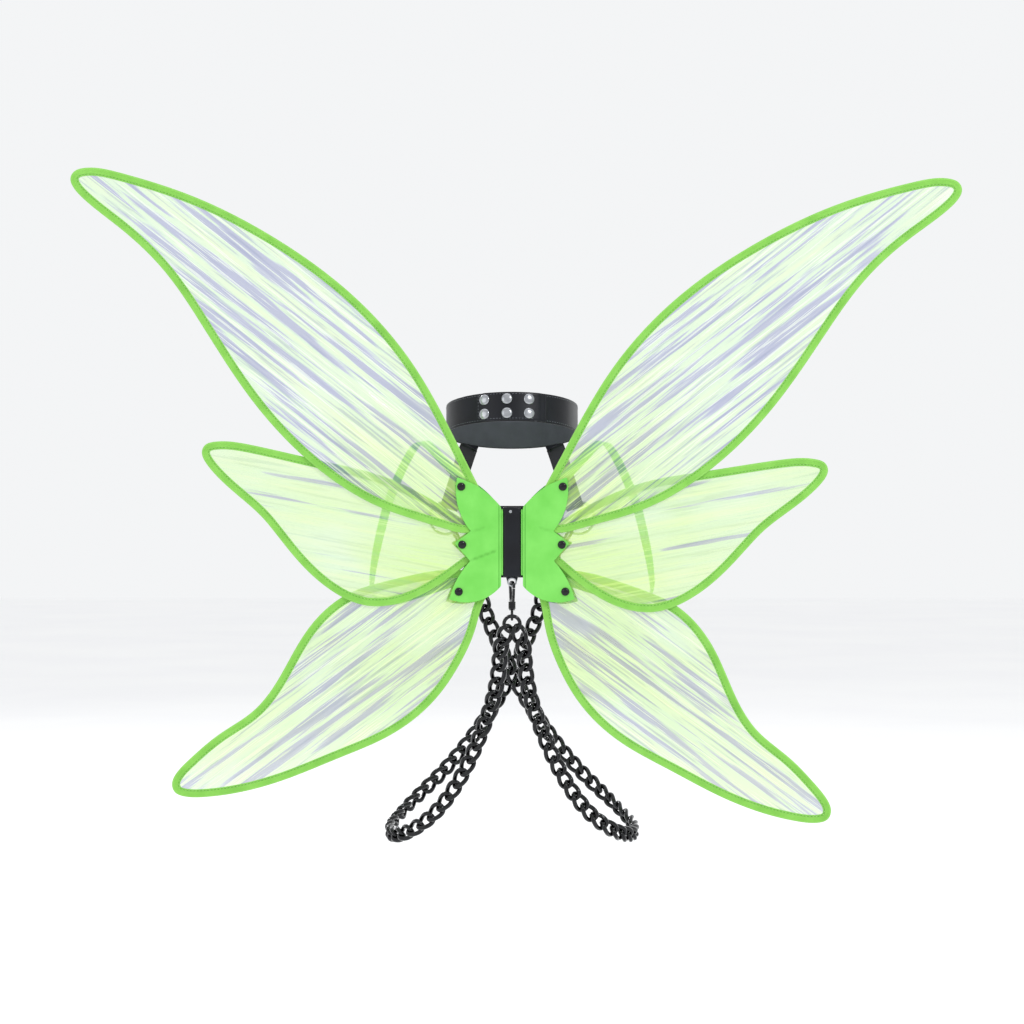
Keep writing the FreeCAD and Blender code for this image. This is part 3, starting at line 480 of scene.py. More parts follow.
# %% Finish: woven polyester bias tape
def tape_finish():
    """Woven polyester tape: dull, with a soft sheen at a slant, and a slanted twill that the eye
    sees as a faint grain.  A painted highlight lightens the fold over the wire, and painted shade darkens the
    seam."""
    finish, tree, shader = new_finish("woven_polyester_tape", Roughness=0.62, Sheen_Weight=0.35,
                                      Sheen_Roughness=0.4)
    shader.inputs["Sheen Tint"].default_value = colour("#D8F8B0")
    along = add(tree, "ShaderNodeAttribute", {"attribute_name": "along"}).outputs["Fac"]
    across = add(tree, "ShaderNodeAttribute", {"attribute_name": "across"}).outputs["Fac"]
    slant = math_node(tree, "ADD", along, across)
    thread = math_node(tree, "SINE", math_node(tree, "MULTIPLY", slant, math.tau / mm(1.0)), 0)
    place = add(tree, "ShaderNodeTexCoord").outputs["Object"]
    wear = add(tree, "ShaderNodeTexNoise", {"Scale": 1 / mm(18), "Detail": 4.0}, {"Vector": place})
    tone = ramp(tree, wear.outputs["Fac"], (0.25, "#78BF44"), (0.5, "#84CB4E"), (0.75, "#8FD35A"))
    # Painted shade: a darker line along the sewn seam, where the tape is pressed in.
    seam = math_node(tree, "ABSOLUTE", math_node(tree, "SUBTRACT", across, mm(6.5)), 0)
    near_seam = math_node(tree, "LESS_THAN", seam, mm(0.45))
    shaded = add(tree, "ShaderNodeMixRGB", {"blend_type": "MULTIPLY", "Color2": colour("#8FB878")},
                 {"Fac": math_node(tree, "MULTIPLY", near_seam, 0.65), "Color1": tone})
    # Painted highlight: the rounded fold over the wire, within 1.6 mm of the tape's edge, is lightened.
    edge = math_node(tree, "LESS_THAN", across, mm(1.6))
    fold_highlight = add(tree, "ShaderNodeMixRGB", {"blend_type": "MIX", "Color2": colour("#9CDB6B")},
                  {"Fac": math_node(tree, "MULTIPLY", edge, 0.35), "Color1": shaded.outputs["Color"]})
    weave = add(tree, "ShaderNodeMixRGB", {"blend_type": "MULTIPLY", "Color2": colour("#DDEBD2")},
                {"Fac": math_node(tree, "MULTIPLY", math_node(tree, "MAXIMUM", thread, 0), 0.3),
                 "Color1": fold_highlight.outputs["Color"]})
    wire_up(tree, shader, Base_Color=weave.outputs["Color"])
    bumped(tree, shader, thread, mm(0.06), 0.6)
    return finish


def thread_finish(name, code):
    """Spun polyester sewing thread: soft and without shine, a shade off the cloth it is sewn in."""
    finish, tree, shader = new_finish(name, Roughness=0.75, Sheen_Weight=0.2)
    place = add(tree, "ShaderNodeTexCoord").outputs["Object"]
    ply = add(tree, "ShaderNodeTexNoise", {"Scale": 1 / mm(0.8)}, {"Vector": place})
    base = tuple(int(code[i:i + 2], 16) for i in (1, 3, 5))
    dark = "#" + "".join(f"{round(c * 0.86):02X}" for c in base)
    wire_up(tree, shader, Base_Color=ramp(tree, ply.outputs["Fac"], (0.35, dark), (0.65, code)))
    return finish


TAPE = tape_finish()
GREEN_THREAD = thread_finish("green_sewing_thread", "#B4EE86")
BLACK_THREAD = thread_finish("black_sewing_thread", "#7B7F88")
print("tape and threads:", TAPE.name, GREEN_THREAD.name, BLACK_THREAD.name)

# %% Tape and its stitches
HALF_SECTION = [
    (0.0, 0.0), (0.12, 0.62), (0.6, 1.05), (1.4, 1.2), (2.3, 1.08), (3.0, 0.84), (3.8, 0.68),
    (5.2, 0.62), (6.1, 0.56), (6.5, 0.42), (6.9, 0.54), (7.7, 0.56), (8.0, 0.42), (8.0, 0.16),
]
TAPE_SECTION = [(mm(a), mm(f)) for a, f in HALF_SECTION]
TAPE_SECTION += [(mm(a), mm(-f)) for a, f in HALF_SECTION[:0:-1]]


def make_tape(wing, hand):
    """The folded tape of one wing, and the two lines of stitches that hold it."""
    lie, rim = LIES[wing, hand], RIMS[wing, hand]
    inward = inward_of(rim)
    stations = []
    for (a, b), (i, j) in zip(rim, inward):
        stations.append((lie.to_world(a, b), lie.out * i + lie.up * j, lie.back))
    seed = 7.3 * WING_NAMES.index(wing) + 31 * SIDES[hand]

    def pucker(number, corner):
        a, f = TAPE_SECTION[corner]
        wave = noise.noise(Vector((number * 0.27, seed, 0))) + noise.noise(Vector((number * 0.9, seed, 9)))
        return math.copysign(mm(0.09) * min(a / mm(4), 1), f) * wave

    bm = bmesh.new()
    strip(bm, stations, TAPE_SECTION, closed=True, ripple=pucker)
    tape = piece(f"{wing}_tape_{hand}", bm, f"{wing}_wing_{hand}", TAPE,
                 (f"{wing}_binding_{hand}", f"{wing}_wire_{hand}"))
    bm = bmesh.new()
    count = 0
    for side in (1, -1):
        line = [at + across * mm(6.5) + face * side * mm(0.44) for at, across, face in stations]
        count += stitches(bm, line, [face * side for at, across, face in stations], mm(3.4), mm(2.5), mm(0.5))
    piece(f"{wing}_seam_{hand}", bm, f"{wing}_wing_{hand}", GREEN_THREAD)
    print(tape.name, len(tape.data.polygons), "faces,", count, "stitches")


for hand in SIDES:
    for wing in WING_NAMES:
        make_tape(wing, hand)

# %% [markdown]
# ## The film
#
# The film is iridescent cellophane, a clear plastic sheet with a coating thinner than a wavelength.
# It lets a faint lavender through and mirrors mint and yellow-green.  It was crumpled and pulled
# tight along the wing, so it is full of long straight creases that run from root to tip, each with
# a bright side and a dark side.
#
# Cloth simulation would make soft folds, not sharp creases, so the creases are set by noise that is
# stretched twenty times along the wing.  A ridge in the noise, where its value turns back on itself,
# makes a sharp crease.  The same stretched coordinates are kept on each vertex as `streak_a` and
# `streak_b`, and the colours follow them, with painted highlights as white glints along the creases
# and painted shade as darker lavender lines in the film's own tint.

# %% Finish: iridescent cellophane
STREAK_ANGLE = {"upper": 38.0, "middle": 11.0, "lower": -36.0}


def film_finish(name, calm, gold):
    """Iridescent cellophane: clear with long tinted streaks, glossy, greener near the root where
    layers lie over each other.  A calm film has fewer streaks; gold is how yellow-green it is
    further out."""
    finish, tree, shader = new_finish(name, Roughness=0.14, IOR=1.5, Specular_IOR_Level=0.6,
                                      Coat_Weight=0.4, Coat_Roughness=0.06)
    a = add(tree, "ShaderNodeAttribute", {"attribute_name": "streak_a"}).outputs["Fac"]
    b = add(tree, "ShaderNodeAttribute", {"attribute_name": "streak_b"}).outputs["Fac"]
    root = add(tree, "ShaderNodeAttribute", {"attribute_name": "from_root"}).outputs["Fac"]

    def streaks(length, width, detail, rough):
        place = add(tree, "ShaderNodeCombineXYZ", links={
            "X": math_node(tree, "DIVIDE", a, length), "Y": math_node(tree, "DIVIDE", b, width)})
        return add(tree, "ShaderNodeTexNoise", {"Scale": 1.0, "Detail": detail, "Roughness": rough},
                   {"Vector": place.outputs["Vector"]}).outputs["Fac"]

    bands = streaks(mm(210), mm(9), 2.5, 0.55)
    lines = streaks(mm(120), mm(3.2), 3.0, 0.6)
    cloud = streaks(mm(90), mm(60), 2.0, 0.5)
    lavender = 0.36 if calm else 0.47
    wide = ramp(tree, bands, (lavender - 0.05, "#8F97C2"), (lavender - 0.01, "#A6AED0"),
                (lavender + 0.02, "#CFEEC8"), (0.78, "#E6F8BC"))
    # Painted highlights: near-white lines where the crease noise peaks, as glints off the creases.
    painted_glint = add(tree, "ShaderNodeMapRange", {"From Min": 0.55, "From Max": 0.59}, {"Value": lines})
    fine = add(tree, "ShaderNodeMixRGB", {"blend_type": "MIX", "Color2": colour("#F6FFF2")},
               {"Fac": math_node(tree, "MULTIPLY", painted_glint.outputs["Result"], 0.25 if calm else 0.6),
                "Color1": wide})
    # Painted shade: darker lavender lines where the crease noise dips, the dark side of the creases in the
    # film's own tint.
    painted_crease_shade = add(tree, "ShaderNodeMapRange", {"From Min": 0.43, "From Max": 0.39}, {"Value": lines})
    lined = add(tree, "ShaderNodeMixRGB", {"blend_type": "MIX", "Color2": colour("#8089B4")},
                {"Fac": math_node(tree, "MULTIPLY", painted_crease_shade.outputs["Result"], 0.2 if calm else 0.55),
                 "Color1": fine.outputs["Color"]})
    green = add(tree, "ShaderNodeMapRange", {"From Min": 0.24, "From Max": 0.08, "To Min": gold},
                {"Value": root})
    patch = add(tree, "ShaderNodeMapRange", {"From Min": 0.3, "From Max": 0.55, "To Min": 0.35},
                {"Value": cloud})
    greener = add(tree, "ShaderNodeMixRGB", {"blend_type": "MULTIPLY", "Color2": colour("#E8FB9C")},
                  {"Fac": math_node(tree, "MULTIPLY", green.outputs["Result"], patch.outputs["Result"]),
                   "Color1": lined.outputs["Color"]})
    # The painted glints and the painted crease shade are also made a little more opaque.
    body = math_node(tree, "ADD", math_node(tree, "MULTIPLY", painted_glint.outputs["Result"], 0.14), 0.6)
    body = math_node(tree, "ADD", body, math_node(tree, "MULTIPLY", painted_crease_shade.outputs["Result"], 0.12))
    wire_up(tree, shader, Base_Color=greener.outputs["Color"], Alpha=body)
    bumped(tree, shader, lines, mm(0.35), 0.55)
    return finish


FILMS = {
    "upper": film_finish("iridescent_cellophane_creased", False, 0.1),
    "middle": film_finish("iridescent_cellophane_calm", True, 0.45),
    "lower": film_finish("iridescent_cellophane_golden", False, 0.55),
}
print("cellophane for the", ", ".join(FILMS), "wings")

# %% Film sheets
def inside(points, ring):
    """True for each point inside a closed 2-D ring, by counting crossings."""
    x, y = points[:, 0], points[:, 1]
    odd = np.zeros(len(points), bool)
    for (x1, y1), (x2, y2) in zip(ring, np.roll(ring, -1, axis=0)):
        if y1 != y2:
            cross = ((y1 > y) != (y2 > y)) & (x < (x2 - x1) * (y - y1) / (y2 - y1) + x1)
            odd ^= cross
    return odd


def crease(a, b, seed, sharp):
    """The height of the crumpled film at a place, between about -1 and 1."""
    broad = noise.noise(Vector((a / 0.16, b / 0.016, seed)))
    ridge = 1 - 3.2 * abs(noise.noise(Vector((a / 0.14, b / 0.0075, seed + 5))))
    fine = noise.noise(Vector((a / 0.07, b / 0.0035, seed + 11)))
    return 0.5 * broad + sharp * (0.42 * ridge + 0.3 * fine)


def make_film(wing, hand):
    """The crumpled film of one wing, its rim held in the tape."""
    lie, rim = LIES[wing, hand], RIMS[wing, hand]
    angle = math.radians(STREAK_ANGLE[wing])
    along = np.array([math.cos(angle), math.sin(angle)])
    over = np.array([-math.sin(angle), math.cos(angle)])
    spread = np.column_stack([rim @ along, rim @ over])
    (a0, b0), (a1, b1) = spread.min(0), spread.max(0)
    bm = bmesh.new()
    counts = (int((a1 - a0) / mm(4.5)), int((b1 - b0) / mm(1.3)))
    bmesh.ops.create_grid(bm, x_segments=counts[0], y_segments=counts[1], size=0.5)
    flat = np.array([(v.co.x, v.co.y) for v in bm.verts])
    flat = flat * (a1 - a0, b1 - b0) + ((a0 + a1) / 2, (b0 + b1) / 2)
    places = flat[:, :1] * along + flat[:, 1:] * over
    ring = rim + inward_of(rim) * mm(2.6)
    keep = inside(places, ring) & (np.linalg.norm(places, axis=1) > mm(2.6))
    gaps = np.full(len(places), 1.0)
    for start in range(0, len(rim), 64):
        block = rim[start:start + 64]
        gaps = np.minimum(gaps, np.linalg.norm(places[:, None] - block[None], axis=2).min(1))
    layers = [bm.verts.layers.float.new(n) for n in ("streak_a", "streak_b", "from_root")]
    seed = 3.1 * WING_NAMES.index(wing) + 17 * SIDES[hand]
    sharp = 0.35 if wing == "middle" else 1.0
    bm.verts.ensure_lookup_table()
    for vert, place, (a, b), gap in zip(bm.verts, places, flat, gaps):
        hold = min(max((gap - mm(8)) / mm(14), 0), 1)
        height = mm(1.0) * max(-1, min(1, crease(a, b, seed, sharp))) * hold * hold * (3 - 2 * hold)
        vert.co = lie.to_world(place[0], place[1], height)
        vert[layers[0]], vert[layers[1]] = a + seed, b
        vert[layers[2]] = math.hypot(vert.co.x, vert.co.z)
    gone = [v for v, kept in zip(bm.verts, keep) if not kept]
    bmesh.ops.delete(bm, geom=gone, context="VERTS")
    stray = [v for v in bm.verts if not v.link_faces]
    bmesh.ops.delete(bm, geom=stray, context="VERTS")
    film = piece(f"{wing}_sheet_{hand}", bm, f"{wing}_wing_{hand}", FILMS[wing],
                 (f"{wing}_film_{hand}",))
    cut = rim + inward_of(rim) * mm(1.9)


for hand in SIDES:
    for wing in WING_NAMES:
        make_film(wing, hand)

# %% [markdown]
# ## Leather, elastic and metal
#
# The leather is smooth coated hide: a fine grain that only shows where light grazes it, a soft shine
# and a cut edge.  The outer plates are bright green and the inner ones a shade deeper.  The elastic
# is woven in ribs along its length.  Caps and rings are polished nickel, and the chain, the clasps
# and the studs are black plating with a gloss like wet paint.


# %% Finishes: leather, elastic, nickel and black plating
def leather_finish(name, dark, light, rough, sheen, gloss_level=0.35):
    """Smooth coated leather: one even tone with faint cloudy wear, a pebble grain a fraction of a
    millimetre deep and a soft shine that breaks up in the grain.  Grooves are darkened with painted shade."""
    finish, tree, shader = new_finish(name, Specular_IOR_Level=gloss_level, Coat_Weight=sheen,
                                      Coat_Roughness=0.32)
    place = add(tree, "ShaderNodeTexCoord").outputs["Object"]
    wear = add(tree, "ShaderNodeTexNoise", {"Scale": 1 / mm(22), "Detail": 5.0}, {"Vector": place})
    tone = ramp(tree, wear.outputs["Fac"], (0.3, dark), (0.7, light))
    # Painted shade: places deep in a groove, the seam and the creases, are darkened.
    groove = add(tree, "ShaderNodeAttribute", {"attribute_name": "groove"}).outputs["Fac"]
    groove_shaded = add(tree, "ShaderNodeMixRGB", {"blend_type": "MULTIPLY", "Color2": colour("#B4CFA8")},
               {"Fac": groove, "Color1": tone})
    wire_up(tree, shader, Base_Color=groove_shaded.outputs["Color"])
    grain = add(tree, "ShaderNodeTexVoronoi", {"Scale": 1 / mm(0.9)}, {"Vector": place})
    gloss = add(tree, "ShaderNodeMapRange", {"To Min": rough - 0.05, "To Max": rough + 0.08},
                {"Value": wear.outputs["Fac"]})
    wire_up(tree, shader, Roughness=gloss.outputs["Result"])
    bumped(tree, shader, grain.outputs["Distance"], mm(0.08), 0.35)
    return finish


def elastic_finish():
    """Woven elastic: fine ribs along the strap with painted shade in the valley between them, and no
    shine but a little nap."""
    finish, tree, shader = new_finish("ribbed_elastic", Roughness=0.7, Sheen_Weight=0.3)
    along = add(tree, "ShaderNodeAttribute", {"attribute_name": "along"}).outputs["Fac"]
    across = add(tree, "ShaderNodeAttribute", {"attribute_name": "across"}).outputs["Fac"]
    rib = math_node(tree, "SINE", math_node(tree, "MULTIPLY", across, math.tau / mm(1.4)), 0)
    pick = math_node(tree, "SINE", math_node(tree, "MULTIPLY", along, math.tau / mm(0.9)), 0)
    weave = math_node(tree, "ADD", rib, math_node(tree, "MULTIPLY", pick, 0.4))
    height = add(tree, "ShaderNodeMapRange", {"From Min": -1.4, "From Max": 1.4}, {"Value": weave})
    # Painted shade: the ramp darkens the valleys between the ribs by their depth.
    shade = ramp(tree, height.outputs["Result"], (0.1, "#4EAE36"), (0.45, "#66CF49"), (0.9, "#78D85E"))
    wire_up(tree, shader, Base_Color=shade)
    bumped(tree, shader, height.outputs["Result"], mm(0.2), 0.6)
    return finish


def metal_finish(name, dark, light, rough, metallic, coat):
    """Plated metal: an even mirror tone with faint smears from handling that spread its highlights."""
    finish, tree, shader = new_finish(name, Metallic=metallic, Coat_Weight=coat, Coat_Roughness=0.03)
    place = add(tree, "ShaderNodeTexCoord").outputs["Object"]
    smear = add(tree, "ShaderNodeTexNoise", {"Scale": 1 / mm(6), "Detail": 3.0}, {"Vector": place})
    wire_up(tree, shader, Base_Color=ramp(tree, smear.outputs["Fac"], (0.3, dark), (0.7, light)))
    gloss = add(tree, "ShaderNodeMapRange", {"To Min": rough, "To Max": rough + 0.1},
                {"Value": smear.outputs["Fac"]})
    wire_up(tree, shader, Roughness=gloss.outputs["Result"])
    return finish


GREEN_LEATHER = leather_finish("smooth_green_leather", "#70CF50", "#7FDB5F", 0.42, 0.1)
INNER_LEATHER = leather_finish("smooth_green_leather_inner", "#3FA32C", "#4BAE38", 0.48, 0.1)
BLACK_LEATHER = leather_finish("smooth_black_leather", "#0A0C12", "#12151D", 0.36, 0.1, 0.22)
LINING_LEATHER = leather_finish("soft_lining_leather", "#3E4147", "#494C53", 0.8, 0.0)
ELASTIC = elastic_finish()
NICKEL = metal_finish("polished_nickel", "#9A9DA2", "#B4B6BA", 0.16, 1.0, 0.0)
BLACK_METAL = metal_finish("glossy_black_plating", "#0A0B0E", "#14161A", 0.08, 1.0, 0.7)
made = (GREEN_LEATHER, INNER_LEATHER, BLACK_LEATHER, LINING_LEATHER, ELASTIC, NICKEL, BLACK_METAL)
print("finishes:", [finish.name for finish in made])

# %% [markdown]
# ## Cut leather
#
# A leather plate is its outline pulled up by the leather's thickness, with its cut edges rounded.
# It is then sliced into a fine lattice, so that it can take the gentle warps, seams and creases that
# tell leather from sheet plastic.  Outlines are drawn with straight runs and arcs, as on the
# pattern a leather worker would cut from.


# %% Outlines and plates
def arc(start, via, end, steps=12):
    """Points on the circle through three points, without the first."""
    (x1, y1), (x2, y2), (x3, y3) = start, via, end
    d = 2 * (x1 * (y2 - y3) + x2 * (y3 - y1) + x3 * (y1 - y2))
    s1, s2, s3 = x1 * x1 + y1 * y1, x2 * x2 + y2 * y2, x3 * x3 + y3 * y3
    cx = (s1 * (y2 - y3) + s2 * (y3 - y1) + s3 * (y1 - y2)) / d
    cy = (s1 * (x3 - x2) + s2 * (x1 - x3) + s3 * (x2 - x1)) / d
    radius = math.hypot(x1 - cx, y1 - cy)
    a1 = math.atan2(y1 - cy, x1 - cx)
    turns = [(math.atan2(y - cy, x - cx) - a1) % math.tau for x, y in (via, end)]
    sweep = turns[1] if turns[0] < turns[1] else turns[1] - math.tau
    return [(cx + radius * math.cos(a1 + sweep * n / steps), cy + radius * math.sin(a1 + sweep * n / steps))
            for n in range(1, steps + 1)]


def cut_leather(outline, thick, place, warp, cell=3.0, extra=(), edge=0.3):
    """A leather plate: its outline (mm) lies in a placement's XY plane and it is thick along Z.
    warp(x, y) gives its lift in mm and how deep it is in a groove, 0 to 1; extra lists more
    lattice lines across X."""
    bm = bmesh.new()
    face = bm.faces.new([bm.verts.new((mm(x), mm(y), 0)) for x, y in outline])
    up = bmesh.ops.extrude_face_region(bm, geom=[face])["geom"]
    bmesh.ops.translate(bm, vec=(0, 0, mm(thick)), verts=[g for g in up if isinstance(g, bmesh.types.BMVert)])
    bmesh.ops.recalc_face_normals(bm, faces=bm.faces)
    rims = [e for e in bm.edges if len({round(v.co.z, 6) for v in e.verts}) == 1]
    bmesh.ops.bevel(bm, geom=rims, offset=mm(edge), segments=2, profile=0.6, affect="EDGES")
    xs, ys = [x for x, y in outline], [y for x, y in outline]
    cuts = [((mm(x), 0, 0), (1, 0, 0)) for x in list(np.arange(min(xs) + cell, max(xs), cell)) + list(extra)]
    cuts += [((0, mm(y), 0), (0, 1, 0)) for y in np.arange(min(ys) + cell, max(ys), cell)]
    for at, normal in cuts:
        geom = bm.verts[:] + bm.edges[:] + bm.faces[:]
        bmesh.ops.bisect_plane(bm, geom=geom, plane_co=at, plane_no=normal, dist=1e-7)
    layer = bm.verts.layers.float.new("groove")
    for vert in bm.verts:
        x, y, z = vert.co
        lift, vert[layer] = warp(x * 1000, y * 1000)
        vert.co = place @ Vector((x, y, z + mm(lift)))
    bmesh.ops.triangulate(bm, faces=[f for f in bm.faces if len(f.verts) > 4])
    bmesh.ops.recalc_face_normals(bm, faces=bm.faces)
    return bm


def even_shading(thing):
    """Shades large faces flat and lets only the small rounded edges turn the light."""
    weighted = thing.modifiers.new("even_shading", "WEIGHTED_NORMAL")
    weighted.keep_sharp = True
    return thing


def sewn_line(outline_points, place, height, pitch=3.4, length=2.5, thick=0.5, closed=True):
    """Stitches along a line (mm) in a placement's XY plane."""
    bm = bmesh.new()
    line = list(outline_points) + (list(outline_points[:1]) if closed else [])
    points = [place @ Vector((mm(x), mm(y), mm(height))) for x, y in line]
    out = place.to_3x3() @ Vector((0, 0, 1))
    stitches(bm, points, [out] * len(points), mm(pitch), mm(length), mm(thick))
    return bm


print("outlines can be cut from leather and sewn")

# %% [markdown]
# ## The green plates
#
# Each half of the harness is two plates of leather with the wing roots between them.  They are lobed
# like a leaf, a lobe for each rivet.  The outer plate is seamed beside the spine, where it is turned
# under, and its lobes stand up a little from the wing roots they hold.  The inner plate is cut a
# little larger, so that a darker edge shows past the outer one.

# %% Plates
NEAR_EDGE = 10.9
FOLD_AT = (10.4, 13.9)


def plate_outline(grow_by):
    """The lobed outline of a plate, out from the spine and up."""
    g = grow_by
    points = [(NEAR_EDGE, 39)]
    points += arc(points[-1], (22, 50.5 + g / 2), (38, 62 + g))
    points += [(55 + g, 69 + g)]
    points += arc(points[-1], (55.5, 46), (41.5, 15), 18)
    points += [(57.5 + g, 3), (42, -15)]
    points += arc(points[-1], (54, -31), (63 + g, -53 - g), 18)
    points += arc(points[-1], (40, -56 - g / 2), (NEAR_EDGE, -40))
    return points


def softened(points, radius, steps=4):
    """An outline whose corners are rounded."""
    made = []
    count = len(points)
    for n, point in enumerate(points):
        here = Vector(point)
        before, after = Vector(points[n - 1]), Vector(points[(n + 1) % count])
        turn = (here - before).angle(after - here)
        if turn < math.radians(18):
            made.append(tuple(here))
            continue
        reach = min(radius, (here - before).length * 0.45, (after - here).length * 0.45)
        a, b = here + (before - here).normalized() * reach, here + (after - here).normalized() * reach
        for k in range(steps + 1):
            t = k / steps
            made.append(tuple(a * (1 - t) ** 2 + here * 2 * t * (1 - t) + b * t * t))
    return made


def half_place(hand, depth):
    """The placement of a plate: X away from the spine, Z out of the back."""
    lie = LIES["upper", hand]
    fold = Vector(JOINTS[f"fold_{hand}"]["pos_m"])
    origin = fold + lie.out * mm(-FOLD_AT[0]) + lie.back * mm(depth - FOLD_AT[1])
    matrix = Matrix((lie.out, lie.up, lie.back)).transposed().to_4x4()
    matrix.translation = Vector((origin.x, origin.y, 0))
    return matrix


def to_line(x, y, start, end):
    """The distance from a place to a straight line between two others."""
    p, a, b = Vector((x, y)), Vector(start), Vector(end)
    t = max(0, min(1, (p - a).dot(b - a) / (b - a).length_squared))
    return (p - a - (b - a) * t).length


def plate_warp(hand):
    """How an outer plate lifts, with its lobes, the seam beside the spine and a crease from wear, and how
    deep a groove is, for painted shade.
    """
    seed = 40 * SIDES[hand]

    def warp(x, y):
        away = min(max((x - 18) / 36, 0), 1)
        lift = 0.55 * away * noise.noise(Vector((x / 17, y / 14, seed)))
        seam = math.exp(-((x - 13.1) / 0.5) ** 2)
        roll = math.exp(-((x - 11.9) / 0.9) ** 2)
        crease = math.exp(-(to_line(x, y, (41, -14), (17, -5)) / 0.9) ** 2) if hand == "left" else 0
        small = math.exp(-(to_line(x, y, (39, 15), (29, 18)) / 1.1) ** 2)
        groove = min(1, 0.9 * seam + 0.8 * crease + 0.4 * small)
        return lift + 0.18 * roll - 0.4 * seam - 0.5 * crease - 0.25 * small, groove

    return warp


SEAM_LINES = (11.6, 11.9, 12.3, 12.7, 13.0, 13.3, 13.7, 14.2)
for hand in SIDES:
    body = f"half_{hand}"
    outer = cut_leather(softened(plate_outline(0), 1.5), 1.0, half_place(hand, 12.9), plate_warp(hand),
                        2.2, SEAM_LINES)
    outer = piece(f"outer_leather_{hand}", outer, body, GREEN_LEATHER,
                  [f"outer_plate_{hand}"])
    inner = cut_leather(softened(plate_outline(2.5), 1.5), 1.0, half_place(hand, 3.4),
                        lambda x, y: (0.25 * noise.noise(Vector((x / 20, y / 16, 5))), 0))
    inner = piece(f"inner_leather_{hand}", inner, body, INNER_LEATHER,
                  [f"inner_plate_{hand}"])
    for thing in (outer, inner):
        even_shading(thing)
    print(outer.name, len(outer.data.polygons), inner.name, len(inner.data.polygons))

# %% [markdown]
# The leather between a plate and the spine is one strip that bends when the wings fold.  It belongs
# to the spine at one edge and to the plate at the other; here it is built as one fixed strip on
# neither body.

# %% Fold strips
FOLD_SECTION = [(-1.0, -0.45), (0.0, -0.6), (1.3, -0.45), (1.5, 0.0), (1.3, 0.45), (0.0, 0.3), (-1.0, 0.45),
                (-1.2, 0.0)]
for hand, side in SIDES.items():
    bm = bmesh.new()
    stations = [(Vector((mm(10.2) * side, mm(12.35), mm(z))), Vector((side, 0, 0)), Vector((0, 1, 0)))
                for z in np.arange(-29.2, 37.4, 1.4)]
    strip(bm, stations, [(mm(a), mm(f)) for a, f in FOLD_SECTION])
    edge = piece(f"fold_strip_{hand}", bm, None, GREEN_LEATHER, [f"fold_web_{hand}"])
    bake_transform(edge)
    print(edge.name, len(edge.data.polygons), "faces")

# %% [markdown]
# ## Rivets, snaps and studs
#
# A domed cap has a flat rim and a smooth crown, and its one small highlight is what says "metal" at
# this size.  Each cap is turned from its half section.

# %% Turned caps
def dome_section(radius, rise, rim=0.5, steps=8):
    """The half section of a domed cap that stands on height 0, in metres."""
    points = [(0.0, 0.0), (radius - 0.3, 0.0), (radius, 0.2), (radius, rim)]
    for n in range(1, steps + 1):
        turn = math.pi / 2 * n / steps
        out = radius * math.cos(turn) ** 0.9 if n < steps else 0.0
        points.append((out, rim + (rise - rim) * math.sin(turn)))
    return [(mm(r), mm(h)) for r, h in points]


RIVET_SPOTS = ((51, 59.5), (50, 1.5), (53.5, -45.5))
for hand in SIDES:
    bm = bmesh.new()
    for x, z in RIVET_SPOTS:
        shank = ((0, -11), (3.2, -11), (3.2, -10.2), (1.6, -10.1), (1.6, 0.1), (0, 0.1))
        shank = [(mm(r), mm(h)) for r, h in shank]
        at = half_place(hand, 13.95) @ Matrix.Translation((mm(x), mm(z), 0))
        turned(bm, dome_section(4.15, 2.6), at)
        turned(bm, shank, at, 20)
    piece(f"plate_rivets_{hand}", bm, f"half_{hand}", BLACK_METAL, [f"wing_rivets_{hand}"])
print("wing rivets turned")

# %% [markdown]
# ## The spine
#
# The spine is a leather tube over a firm filling.  It swells a little at both ends, where the cover
# is gathered and turned in.  A leather pad behind it lies against the wearer's back, a riveted tab at
# its foot carries the eyelet for the clasp.

# %% Spine cover
SPINE_LOW, SPINE_HIGH = -31.0, 39.0
SPINE_HALF = (9.4, 6.6)
SPINE_Y = 8.0


def spine_ring(z, steps=40):
    """One ring of the spine's cover: a box with round corners, wider near both ends."""
    from_end = min(z - SPINE_LOW, SPINE_HIGH - z)
    close = math.sqrt(max(0.0, 1 - (1 - min(from_end / 2.4, 1)) ** 2))
    ear = 0.55 * math.exp(-((from_end - 3.0) / 2.4) ** 2)
    waist = -0.25 * math.exp(-((from_end - 8.0) / 3.0) ** 2)
    half_x = (SPINE_HALF[0] - 0.1 + ear + waist) - 1.6 * (1 - close)
    half_y = (SPINE_HALF[1] - 0.3 + waist) - 1.6 * (1 - close)
    ring = []
    for n in range(steps):
        turn = math.tau * n / steps
        c, s = math.cos(turn), math.sin(turn)
        x = half_x * math.copysign(abs(c) ** 0.45, c)
        y = half_y * math.copysign(abs(s) ** 0.45, s)
        dent = 0.14 * noise.noise(Vector((x / 4, y / 4, z / 7)))
        ring.append(Vector((mm(x * (1 + dent / 9)), mm(SPINE_Y + y * (1 + dent / 6)), mm(z))))
    return ring


levels = [SPINE_LOW + d for d in (0, 0.25, 0.7, 1.3, 2.0)]
levels += list(np.arange(SPINE_LOW + 3, SPINE_HIGH - 2.5, 1.0))
levels += [SPINE_HIGH - d for d in (2.0, 1.3, 0.7, 0.25, 0)]
bm = bmesh.new()
row = [bm.verts.new(point) for point in spine_ring(levels[0])]
for pair in zip(row, row[1:] + row[:1]):
    bm.edges.new(pair)
for z in levels[1:]:
    row = grow(bm, row, spine_ring(z), True)
bmesh.ops.holes_fill(bm, edges=[e for e in bm.edges if e.is_boundary], sides=0)
bmesh.ops.recalc_face_normals(bm, faces=bm.faces)
spine = piece("spine_leather", bm, "harness", BLACK_LEATHER, ["spine_cover", "spine_core"])
print(spine.name, len(spine.data.polygons), "faces")


